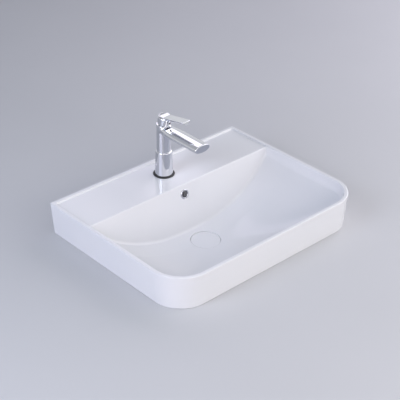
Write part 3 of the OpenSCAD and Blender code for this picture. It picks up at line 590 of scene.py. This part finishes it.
def clickField(x, y, z):
    c = click
    v = y - c["y"]
    fromAxis = np.hypot(x, v)
    body = fromAxis - c["radius"]
    for degrees in c["armAngles"]:
        along, across = turnedPlane(x, v, math.radians(degrees))
        arm = np.maximum(np.abs(across) - c["armHalf"], -along)
        arm = roundMax(arm, z - c["armTop"], c["edgeRound"])
        body = roundMin(body, np.maximum(arm, fromAxis - c["armReach"]), c["armRound"])
    body = between(body, z, c["low"], c["top"], c["edgeRound"])
    chamber = np.maximum(fromAxis - c["chamberRadius"], z - c["guideZ"])
    bore = np.minimum(chamber, fromAxis - c["boreRadius"])
    return roundMax(body, -np.maximum(bore, c["floorZ"] - z), c["boreRound"])


standFor(roundPiece("clickHousing", clickField, click), "click_housing")

# perforated insert of the aerator
insert = {
    "y": 37, "low": 201.5, "top": 207.7, "radius": 9.6, "middleRadius": 1.6, "holeRadius": 1.9,
    "holeAt": 5.6, "holes": 6, "edgeRound": 0.25,
    "grid": {"half": 10.1, "across": 0.42, "up": 0.5, "below": 0.5, "above": 0.6, "normals": 0.04},
}


def insertField(x, y, z):
    n = insert
    v = y - n["y"]
    fromAxis = np.hypot(x, v)
    holes = fromNearest(x, v, n["holes"], n["holeAt"]) - n["holeRadius"]
    plan = np.maximum(fromAxis - n["radius"], -np.minimum(holes, fromAxis - n["middleRadius"]))
    return between(plan, z, n["low"], n["top"], n["edgeRound"])


standFor(roundPiece("aeratorMesh", insertField, insert), "aerator_insert")


turning = {"straight": 0.02, "onAxis": 1e-6, "arcSteps": 5}


def turnedArea(points):
    # above zero for a profile that runs anticlockwise
    total = 0
    for n in range(len(points)):
        total += points[n - 1][0] * points[n][1] - points[n][0] * points[n - 1][1]
    return total


def softened(corners, closed):
    # points and normals along a profile of (radius, height, round) corners
    count, arcSteps = len(corners), turning["arcSteps"]
    plan = np.array([corner[:2] for corner in corners], float)
    side = 1 if turnedArea(plan) > 0 else -1
    points, normals = [], []
    for n in range(count):
        here = plan[n]
        into = here - plan[n - 1]
        out = plan[(n + 1) % count] - here
        if not closed and n == 0:
            into = out
        if not closed and n == count - 1:
            out = into
        into, out = into / np.linalg.norm(into), out / np.linalg.norm(out)
        first = side * np.array([into[1], -into[0]])
        last = side * np.array([out[1], -out[0]])
        bend = math.atan2(into[0] * out[1] - into[1] * out[0], into @ out)
        radius = corners[n][2]
        if abs(bend) < turning["straight"] or radius == 0:
            normal = first + last
            points.append(here)
            normals.append(normal / np.linalg.norm(normal))
            continue
        reach = radius * math.tan(abs(bend) / 2)
        turnSide = 1 if bend * side > 0 else -1
        centre = here - into * reach - first * radius * turnSide
        for k in range(arcSteps + 1):
            spin = bend * k / arcSteps
            c, s = math.cos(spin), math.sin(spin)
            normal = np.array([first[0] * c - first[1] * s, first[0] * s + first[1] * c])
            points.append(centre + normal * radius * turnSide)
            normals.append(normal)
    return np.array(points), np.array(normals)


def bandFaces(low, high):
    # the faces between two rings of points
    ahead = [(n + 1) % len(low) for n in range(len(low))]
    return [[low[n], low[m], high[m], high[n]] for n, m in enumerate(ahead)]


def lathe(name, corners, middle, up=(0, 0, 1), closed=True, sides=96):
    # a turned piece; an open profile starts and ends on the axis
    points, slopes = softened(corners, closed)
    up = Vector(up).normalized()
    across = up.orthogonal().normalized()
    frameTurn = np.array([across, up.cross(across), up])
    turned = np.arange(sides) * 2 * math.pi / sides
    verts, normals, faces, rings = [], [], [], []
    start = 0
    for (radius, height), (slopeOut, slopeUp) in zip(points, slopes):
        pole = radius < turning["onAxis"]
        around = np.zeros(1) if pole else turned
        cos, sin, flat = np.cos(around), np.sin(around), np.ones(len(around))
        tilt = 0 if pole else slopeOut
        verts.append(np.stack([radius * cos, radius * sin, height * flat], 1))
        normals.append(np.stack([tilt * cos, tilt * sin, slopeUp * flat], 1))
        rings.append([start] * sides if pole else list(range(start, start + sides)))
        start += len(around)
    for low, high in zip(rings, rings[1:] + rings[:1] if closed else rings[1:]):
        for face in bandFaces(low, high):
            faces.append([v for k, v in enumerate(face) if v not in face[:k]])
    verts = np.concatenate(verts) @ frameTurn + np.array(middle)
    normals = np.concatenate(normals) @ frameTurn
    normals /= np.linalg.norm(normals, axis=1, keepdims=True)
    if turnedArea(points) < 0:
        faces = [face[::-1] for face in faces]
    return smoothPiece(name, verts, faces, normals)


def flatRing(outer, inner, low, high, rounding):
    section = ((inner, low), (outer, low), (outer, high), (inner, high))
    return [(*corner, rounding) for corner in section]


def arcCorners(radius, middleHeight, starts, ends, count=8):
    # corners on a ball's outline, from one distance off the axis to another
    reach = np.linspace(starts, ends, count)
    return [(r, middleHeight + math.sqrt(radius ** 2 - r ** 2), 0) for r in reach]


wasteMiddle = (0, waste["y"], 0)
tapMiddle = (0, tap["y"], 0)

# washers and seals: node, body, slot, middle, then outer and inner radius, low, high and edge round
rings = {
    "capSealRing": ("cap_seal", "waste_cover", "cap_rubber", wasteMiddle, (23.5, 17, -45.3, -43.4, 0.6)),
    "flangeSealRing": ("flange_seal", "basin", "flange_rubber", wasteMiddle, (31.5, 23, -48.7, -47.2, 0.4)),
    "tailGasketRing": ("tail_gasket", "basin", "gasket_rubber", wasteMiddle, (33, 21, -67.7, -63.7, 1.0)),
    "slipWasher": ("slip_washer", "basin", "washer_plastic", wasteMiddle, (32, 21.15, -69.7, -67.7, 0.5)),
    "baseSealRing": ("base_seal", "basin", "base_rubber", tapMiddle, (27.2, 17.5, 83, 86, 1.2)),
}
for name, (node, body, slot, middle, sizes) in rings.items():
    standFor(lathe(name, flatRing(*sizes), middle), node, body)

# waste cap: a glazed disc with a soft edge and a socket for the rod below
cap = {
    "radius": 37, "low": -43.4, "top": -38, "edgeDrop": 0.3, "flatRadius": 24, "edgeRound": 1.5,
    "lowRound": 1.0, "socketRadius": 4.05, "socketTop": -40.2, "socketRound": 0.3, "socketTopRound": 0.2,
}


def capCorners(c):
    return [(0, c["socketTop"], 0), (c["socketRadius"], c["socketTop"], c["socketTopRound"]),
            (c["socketRadius"], c["low"], c["socketRound"]), (c["radius"], c["low"], c["lowRound"]),
            (c["radius"], c["top"] - c["edgeDrop"], c["edgeRound"]), (c["flatRadius"], c["top"], 0),
            (0, c["top"], 0)]


capPiece = lathe("wasteCapGlaze", capCorners(cap), wasteMiddle, closed=False, sides=128)
standFor(capPiece, "waste_cap", "waste_cover")

# push rod
rod = {
    "radius": 5, "collarRadius": 6.8, "low": -66.4, "collarTop": -64.6, "top": -43.4,
    "stubRadius": 4, "stubTop": -40.4, "collarRound": 0.4, "stepRound": 0.3, "stubRound": 0.5,
    "stubFootRound": 0.2,
}


def rodCorners(r):
    return [(0, r["low"], 0), (r["collarRadius"], r["low"], r["collarRound"]),
            (r["collarRadius"], r["collarTop"], r["collarRound"]),
            (r["radius"], r["collarTop"], r["stepRound"]), (r["radius"], r["top"], r["stepRound"]),
            (r["stubRadius"], r["top"], r["stubFootRound"]),
            (r["stubRadius"], r["stubTop"], r["stubRound"]), (0, r["stubTop"], 0)]


rodPiece = lathe("pushRodTurned", rodCorners(rod), wasteMiddle, closed=False, sides=64)
standFor(rodPiece, "push_rod", "waste_cover")

# overflow ring, square to the sloping wall
overflow = {
    "bore": 8.55, "sleeve": 9.95, "flange": 12.35, "thickness": 1.6, "length": 9,
    "sleeveRound": 0.4, "neckRound": 0.2, "flangeRound": 0.3, "faceRound": 1.2, "mouthRound": 1.0,
}


def overflowCorners(o):
    return [(o["bore"], -o["length"], o["sleeveRound"]), (o["sleeve"], -o["length"], o["sleeveRound"]),
            (o["sleeve"], 0, o["neckRound"]), (o["flange"], 0, o["flangeRound"]),
            (o["flange"], o["thickness"], o["faceRound"]), (o["bore"], o["thickness"], o["mouthRound"])]


overflowY = basin["bowlEdgeY"] - (basin["deckZ"] - basin["overflowZ"]) / math.tan(slope)
overflowPiece = lathe("overflowRingTurned", overflowCorners(overflow), (0, overflowY, basin["overflowZ"]),
                      up=(0, -math.sin(slope), math.cos(slope)))
standFor(overflowPiece, "overflow_ring")

# dome under the handle
dome = {
    "radius": 21, "inside": 19, "ringRadius": 18, "ringTop": 224, "ringLow": 222, "hole": 8,
    "ringLowRound": 0.3, "ringTopRound": 0.7,
}


def domeCorners(d):
    outer = math.sqrt(d["radius"] ** 2 - (d["ringTop"] - handle["pivotZ"]) ** 2)
    inner = math.sqrt(d["inside"] ** 2 - (d["ringLow"] - handle["pivotZ"]) ** 2)
    ring = [(d["ringRadius"], d["ringLow"], d["ringLowRound"]),
            (d["ringRadius"], d["ringTop"], d["ringTopRound"])]
    top = arcCorners(d["radius"], handle["pivotZ"], outer, d["hole"])
    return ring + top + arcCorners(d["inside"], handle["pivotZ"], d["hole"], inner)


standFor(lathe("domeTurned", domeCorners(dome), tapMiddle), "dome_cap")

# aerator housing, with a groove near its lip
aerator = {
    "y": 37, "low": 200, "high": 208, "radius": 11.65, "lipBore": 7.65, "lipTop": 201.5, "bore": 9.65,
    "grooveDepth": 0.35, "grooveLow": 0.9, "grooveHigh": 1.8, "grooveSlope": 0.2, "grooveRound": 0.1,
    "lipRound": 0.5, "edgeRound": 0.9, "stepRound": 0.2, "topRound": 0.3, "seatRound": 0.4,
}


def aeratorCorners(a):
    groove = a["radius"] - a["grooveDepth"]
    low, high = a["low"] + a["grooveLow"], a["low"] + a["grooveHigh"]
    return [(a["lipBore"], a["low"], a["lipRound"]), (a["radius"], a["low"], a["edgeRound"]),
            (a["radius"], low, a["stepRound"]), (groove, low + a["grooveSlope"], a["grooveRound"]),
            (groove, high - a["grooveSlope"], a["grooveRound"]), (a["radius"], high, a["stepRound"]),
            (a["radius"], a["high"], a["topRound"]), (a["bore"], a["high"], a["topRound"]),
            (a["bore"], a["lipTop"], a["stepRound"]), (a["lipBore"], a["lipTop"], a["seatRound"])]


aeratorPiece = lathe("aeratorTurned", aeratorCorners(aerator), (0, aerator["y"], 0))
standFor(aeratorPiece, "aerator_housing")

# indicator plug in the front of the hub
plug = {"radius": 3.4, "depth": 2.2, "dome": 0.35, "edgeRound": 0.5, "backRound": 0.3}


def plugMiddle(h):
    out, up = turnedPlane(-h["hubRadius"], h["hubLow"] + h["screwRise"], -handleLean)
    return (0, h["pivotY"] + out, h["pivotZ"] + up)


plugCorners = [(0, -plug["depth"], 0), (plug["radius"], -plug["depth"], plug["backRound"]),
               (plug["radius"], -plug["dome"], plug["edgeRound"]), (0, 0, 0)]
plugPiece = lathe("indicatorDot", plugCorners, plugMiddle(handle), closed=False, sides=48,
                  up=(0, -math.cos(handleLean), -math.sin(handleLean)))
standFor(plugPiece, "indicator_plug", "lever")

# fixing stud: a rod whose surface follows a wound thread, with tapered ends
stud = {
    "radius": 4, "depth": 0.45, "pitch": 1.25, "low": 26, "high": 88, "taper": 1.2, "taperShare": 0.6,
    "sides": 40, "rowsPerTurn": 8,
}


def threadedRod(name, s, middle):
    sides = s["sides"]
    rows = int((s["high"] - s["low"]) / s["pitch"] * s["rowsPerTurn"]) + 1
    heights = np.linspace(s["low"], s["high"], rows)
    turned = np.arange(sides) / sides
    wave = threadWave(heights[:, None] / s["pitch"] - turned[None, :])
    fromEnd = np.minimum(heights - s["low"], s["high"] - heights)
    taper = np.clip(s["taper"] - fromEnd, 0, s["taper"])[:, None]
    reach = s["radius"] - s["depth"] * wave - taper * s["taperShare"]
    angle = 2 * math.pi * turned[None, :]
    x = middle[0] + reach * np.cos(angle)
    y = middle[1] + reach * np.sin(angle)
    z = np.repeat(heights[:, None], sides, 1)
    verts = np.stack([x, y, z], 2).reshape(-1, 3)
    rings = np.arange(rows * sides).reshape(rows, sides).tolist()
    faces = [face for low, high in zip(rings, rings[1:]) for face in bandFaces(low, high)]
    faces += [rings[0][::-1], rings[-1]]
    mesh = meshFromLists(name, verts, faces)
    smooth = np.ones(len(faces), bool)
    smooth[-2:] = False  # the two ends
    mesh.polygons.foreach_set("use_smooth", smooth)
    return addObject(name, mesh)


standFor(threadedRod("studThreaded", stud, (0, studNut["y"])), "fixing_stud")
print("scene: turned and threaded pieces built")

# camera at the photograph's viewing angle; pixels is its focal length in a 400 pixel frame
view = {"azimuth": -42.65, "elevation": 31.49, "roll": 0.65, "pixels": 1132.72, "frame": 400,
        "place": (-1.5917, -1.6998, 1.5059), "sensor": 36, "farEnd": 50}


def placeCamera(v):
    data = bpy.data.cameras.new("camera")
    data.sensor_width = v["sensor"]
    data.lens = v["pixels"] / v["frame"] * data.sensor_width
    data.clip_end = v["farEnd"]
    camera = addObject("camera", data)
    aim = ((v["azimuth"], "Z"), (90 - v["elevation"], "X"), (v["roll"], "Z"))
    camera.matrix_world = Matrix.Translation(v["place"])
    for degrees, axis in aim:
        camera.matrix_world @= Matrix.Rotation(math.radians(degrees), 4, axis)
    scene.camera = camera


placeCamera(view)

# floor: a pale top, open inside the basin's foot
floor = {"reach": 6000, "inset": 2.2, "cornerSteps": 24, "fadeStart": 1.75, "fadeEnd": 4.2,
         "colour": (0.6, 0.605, 0.62), "shade": 0.985}


def footOutline():
    # the inside of the skirt's foot, anticlockwise from the right back corner
    half = basin["halfWidth"] - basin["taper"] - floor["inset"]
    corner = basin["cornerRadius"] - basin["taper"] - floor["inset"]
    front = basin["frontY"] + basin["taper"] + floor["inset"] + corner
    back = basin["wallY"] - floor["inset"]
    outline = [(half, back), (-half, back)]
    steps = floor["cornerSteps"]
    for side in (-1, 1):
        for n in range(steps + 1):
            spin = math.radians(-90 + 90 / steps * (steps - n if side < 0 else n))
            x = half - corner + corner * math.cos(spin)
            outline.append((side * x, front + corner * math.sin(spin)))
    return outline


def buildFloor():
    outline = footOutline()
    outer = []
    for x, y in outline:
        grow = floor["reach"] / max(abs(x), abs(y))
        outer.append((x * grow, y * grow))
    verts = np.array([(x, y, 0) for x, y in outline + outer])
    numbers = list(range(len(verts)))
    faces = bandFaces(numbers[len(outline):], numbers[:len(outline)])
    piece = addObject("floor", meshFromLists("floor", verts, faces))
    return piece


floorPiece = buildFloor()

# soft round lamps, all at one distance: the side that each stands on, its size, power and colour
lamps = {
    "frontSoft": ((0, -1, 0.35), 1.6, 17.5, (1, 0.93, 0.95)),
    "frontLeft": ((-0.7, -0.7, 0.45), 1.6, 11, (1, 0.92, 0.88)),
    "frontRight": ((0.6, -0.75, 0.5), 2.2, 11.3, (0.97, 1, 0.85)),
    "leftSide": ((-1, 0, 0.45), 1.6, 22.8, (0.82, 0.82, 1)),
    "leftHigh": ((-0.75, 0, 0.66), 1.0, 9, (0.74, 0.87, 1)),
    "rightSide": ((1, -0.1, 0.5), 2.8, 36, (0.95, 0.89, 1)),
    "overhead": ((0.25, -0.3, 0.92), 0.7, 1.6, (0.9, 0.95, 1)),
    "backRight": ((0.35, 0.62, 0.52), 1.1, 3.3, (0.94, 0.85, 1)),
    "underneath": ((-0.1, -0.15, -1), 1.6, 24, (1, 1, 1)),
}
lampDistance = 2.4
lampCentre = Vector((0, 0, 0.05))
for name, (side, size, power, colour) in lamps.items():
    data = bpy.data.lights.new(name, "AREA")
    data.shape = "DISK"
    data.size = size
    data.energy = power
    data.color = colour
    piece = addObject(name, data)
    direction = Vector(side).normalized()
    piece.location = direction * lampDistance + lampCentre
    piece.rotation_euler = direction.to_track_quat("Z", "Y").to_euler()
scene.view_settings.view_transform = "Standard"
print("scene: camera, floor and lamps placed")


def fill(tree, node, inputs):
    # a number or colour is written on its socket, and another node's socket is joined to it
    for key, value in inputs.items():
        if isinstance(value, bpy.types.NodeSocket):
            tree.links.new(value, node.inputs[key])
        else:
            node.inputs[key].default_value = value
    return node


def addNode(tree, kind, inputs=None, **settings):
    node = tree.nodes.new(kind)
    for key, value in settings.items():
        setattr(node, key, value)
    return fill(tree, node, inputs or {})


def larger(tree, a, b):
    return addNode(tree, "ShaderNodeMath", {0: a, 1: b}, operation="MAXIMUM").outputs[0]


# the world gives a little light, and a paler picture of itself to the camera and to gloss
sky = {"light": 0.17, "lightColour": (0.65, 0.81, 1), "seen": 1.0, "middleAt": 0.3, "highAt": 0.9,
       "low": (0.9, 0.91, 0.93), "middle": (0.8, 0.81, 0.84), "high": (0.42, 0.43, 0.46)}


def buildSky():
    world = bpy.data.worlds.new("studio")
    scene.world = world
    world.use_nodes = True
    tree = world.node_tree
    tree.nodes.clear()
    place = addNode(tree, "ShaderNodeTexCoord")
    split = addNode(tree, "ShaderNodeSeparateXYZ", {0: place.outputs["Generated"]})
    ramp = addNode(tree, "ShaderNodeValToRGB", {0: split.outputs["Z"]})
    low, high = ramp.color_ramp.elements
    low.position, low.color = 0.0, (*sky["low"], 1)
    high.position, high.color = sky["highAt"], (*sky["high"], 1)
    ramp.color_ramp.elements.new(sky["middleAt"]).color = (*sky["middle"], 1)
    rays = addNode(tree, "ShaderNodeLightPath").outputs
    direct = larger(tree, rays["Is Camera Ray"], rays["Is Glossy Ray"])
    direct = larger(tree, direct, rays["Is Transmission Ray"])
    lighting = addNode(tree, "ShaderNodeBackground", {
        "Color": (*sky["lightColour"], 1), "Strength": sky["light"]})
    seen = addNode(tree, "ShaderNodeBackground", {"Color": ramp.outputs[0], "Strength": sky["seen"]})
    blend = addNode(tree, "ShaderNodeMixShader", {0: direct, 1: lighting.outputs[0], 2: seen.outputs[0]})
    addNode(tree, "ShaderNodeOutputWorld", {0: blend.outputs[0]})


buildSky()

# detail of the noises, the stretch taken from their middle, and the depth of relief in metres
effects = {"patchDetail": 3.0, "fleckDetail": 2.0, "noiseLow": 0.3, "noiseHigh": 0.7,
           "grainRelief": 0.0003, "lineRelief": 0.0002}


def noiseAt(tree, where, scale, detail):
    noise = addNode(tree, "ShaderNodeTexNoise", {"Vector": where, "Scale": scale, "Detail": detail})
    return noise.outputs[0]


def spread(tree, value, low, high):
    # the middle of a noise stretched between low and high
    stretch = addNode(tree, "ShaderNodeMapRange", {
        "Value": value, "From Min": effects["noiseLow"], "From Max": effects["noiseHigh"],
        "To Min": low, "To Max": high})
    return stretch.outputs["Result"]


def newEffect(name, ownInputs, noises, relief):
    # noises gives one that moves roughness and colour, and one that makes the relief
    group = bpy.data.node_groups.new(name, "ShaderNodeTree")
    inputs = {**ownInputs, "Rough Low": 0.2, "Rough High": 0.4, "Depth": 0.1}
    for socket, value in inputs.items():
        kind = "NodeSocketFloat" if isinstance(value, float) else "NodeSocketVector"
        group.interface.new_socket(socket, in_out="INPUT", socket_type=kind).default_value = value
    for socket, kind in (("Roughness", "Float"), ("Normal", "Vector"), ("Mask", "Float")):
        group.interface.new_socket(socket, in_out="OUTPUT", socket_type="NodeSocket" + kind)
    given = group.nodes.new("NodeGroupInput").outputs
    patch, height = noises(group, given, addNode(group, "ShaderNodeTexCoord").outputs["Object"])
    bump = addNode(group, "ShaderNodeBump", {
        "Height": height, "Strength": given["Depth"], "Distance": relief})
    fill(group, group.nodes.new("NodeGroupOutput"), {
        "Roughness": spread(group, patch, given["Rough Low"], given["Rough High"]),
        "Normal": bump.outputs["Normal"], "Mask": spread(group, patch, 0.0, 1.0)})
    return group


def grainNoises(group, given, where):
    # soft patches, and a fine grain
    return (noiseAt(group, where, given["Patch Scale"], effects["patchDetail"]),
            noiseAt(group, where, given["Grain Scale"], effects["fleckDetail"]))


def lineNoises(group, given, where):
    # fine lines along one direction, for turned and drawn metal
    pull = addNode(group, "ShaderNodeVectorMath", {0: where, 1: given["Stretch"]}, operation="MULTIPLY")
    streak = noiseAt(group, pull.outputs[0], 1.0, effects["fleckDetail"])
    return streak, streak


grainInputs = {"Patch Scale": 30.0, "Grain Scale": 900.0}
grain = newEffect("surfaceGrain", grainInputs, grainNoises, effects["grainRelief"])
toolLines = newEffect("toolLines", {"Stretch": (40.0, 40.0, 1500.0)}, lineNoises, effects["lineRelief"])

# finishes: the effect's values, two colours that it varies between, and the nodes that wear it;
# the effect is the grain where none is named
finishes = {
    "whiteGlaze": {
        "patch": 9, "grain": 45, "rough": (0.07, 0.12), "depth": 0.03, "ior": 1.52,
        "colours": ((0.8, 0.8, 0.82), (0.785, 0.79, 0.815)),
        "nodes": ["basin_body", "waste_cap"]},
    "polishedChrome": {
        "patch": 40, "grain": 120, "rough": (0.03, 0.08), "depth": 0.01, "metallic": 1,
        "colours": ((0.68, 0.69, 0.72), (0.65, 0.66, 0.7)),
        "nodes": ["overflow_ring", "waste_flange", "tap_body", "dome_cap", "handle", "aerator_housing"]},
    "blackRubber": {
        "patch": 60, "grain": 1500, "rough": (0.45, 0.65), "depth": 0.25,
        "colours": ((0.012, 0.012, 0.014), (0.02, 0.02, 0.022)),
        "nodes": ["cap_seal", "flange_seal", "tail_gasket", "base_seal", "horseshoe_gasket",
                  "cartridge_seals", "aerator_washer"]},
    "palePlastic": {
        "patch": 80, "grain": 1200, "rough": (0.35, 0.5), "depth": 0.12,
        "colours": ((0.62, 0.62, 0.6), (0.56, 0.56, 0.54)),
        "nodes": ["click_housing", "slip_washer", "cartridge_housing", "aerator_insert"]},
    "darkPlastic": {
        "patch": 80, "grain": 1200, "rough": (0.3, 0.45), "depth": 0.12,
        "colours": ((0.03, 0.035, 0.05), (0.04, 0.045, 0.06)),
        "nodes": ["spindle_guide"]},
    "glossPlastic": {
        "patch": 120, "grain": 600, "rough": (0.1, 0.18), "depth": 0.03,
        "colours": ((0.02, 0.02, 0.022), (0.03, 0.03, 0.032)),
        "nodes": ["indicator_plug"]},
    "paleLappedDisc": {
        "patch": 200, "grain": 2500, "rough": (0.15, 0.25), "depth": 0.05,
        "colours": ((0.82, 0.8, 0.75), (0.78, 0.76, 0.71)),
        "nodes": ["fixed_disc"]},
    "darkLappedDisc": {
        "patch": 200, "grain": 2500, "rough": (0.15, 0.25), "depth": 0.05,
        "colours": ((0.06, 0.06, 0.07), (0.08, 0.08, 0.09)),
        "nodes": ["moving_disc"]},
    "machinedBrass": {
        "effect": toolLines, "stretch": (60, 60, 2500), "rough": (0.2, 0.36), "depth": 0.12, "metallic": 1,
        "colours": ((0.72, 0.52, 0.24), (0.62, 0.43, 0.18)),
        "nodes": ["push_rod", "waste_backnut", "fixing_stud", "stud_nut", "lever_spindle",
                  "cartridge_nut"]},
    "drawnSteel": {
        "effect": toolLines, "stretch": (900, 60, 900), "rough": (0.22, 0.4), "depth": 0.1, "metallic": 1,
        "colours": ((0.5, 0.5, 0.51), (0.42, 0.42, 0.43)),
        "nodes": ["click_spring", "horseshoe_plate", "pivot_pin", "grub_screw"]},
    "paleFloor": {
        "patch": 2, "grain": 300, "rough": (0.5, 0.6), "depth": 0.02,
        "colours": (floor["colour"], tuple(floor["shade"] * c for c in floor["colour"])),
        "nodes": []},
}
effectSockets = {"patch": "Patch Scale", "grain": "Grain Scale", "stretch": "Stretch", "depth": "Depth"}


def newMaterial(name, finish):
    material = bpy.data.materials.new(name)
    material.use_nodes = True
    tree = material.node_tree
    effect = addNode(tree, "ShaderNodeGroup", node_tree=finish.get("effect", grain))
    fill(tree, effect, {effectSockets[key]: finish[key] for key in effectSockets if key in finish})
    fill(tree, effect, dict(zip(("Rough Low", "Rough High"), finish["rough"])))
    tint = addNode(tree, "ShaderNodeMix", {"Factor": effect.outputs["Mask"]}, data_type="RGBA")
    colourIn = [socket for socket in tint.inputs if socket.type == "RGBA"]
    for socket, colour in zip(colourIn, finish["colours"]):
        socket.default_value = (*colour, 1)
    colourOut = next(socket for socket in tint.outputs if socket.type == "RGBA")
    fill(tree, tree.nodes["Principled BSDF"], {
        "Metallic": finish.get("metallic", 0), "IOR": finish.get("ior", 1.5), "Base Color": colourOut,
        "Roughness": effect.outputs["Roughness"], "Normal": effect.outputs["Normal"]})
    return material


def fadeFloor(material):
    # from below the floor can be seen through, and far away it fades into the backdrop
    tree = material.node_tree
    here = addNode(tree, "ShaderNodeNewGeometry").outputs
    away = addNode(tree, "ShaderNodeVectorMath", {0: here["Position"]}, operation="LENGTH")
    fade = addNode(tree, "ShaderNodeMapRange", {
        "Value": away.outputs["Value"], "From Min": floor["fadeStart"], "From Max": floor["fadeEnd"],
    }, interpolation_type="SMOOTHSTEP")
    clear = addNode(tree, "ShaderNodeBsdfTransparent")
    pick = addNode(tree, "ShaderNodeMixShader", {
        0: larger(tree, here["Backfacing"], fade.outputs["Result"]),
        1: tree.nodes["Principled BSDF"].outputs[0], 2: clear.outputs[0]})
    fill(tree, tree.nodes["Material Output"], {"Surface": pick.outputs[0]})


def dress(obj, material):
    obj.data.materials.clear()
    obj.data.materials.append(material)


for name, finish in finishes.items():
    material = newMaterial(name, finish)
    for node in finish["nodes"]:
        dress(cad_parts[node], material)
        if node in made:
            dress(made[node], material)
    if name == "paleFloor":
        fadeFloor(material)
        dress(floorPiece, material)
print("scene: materials placed")
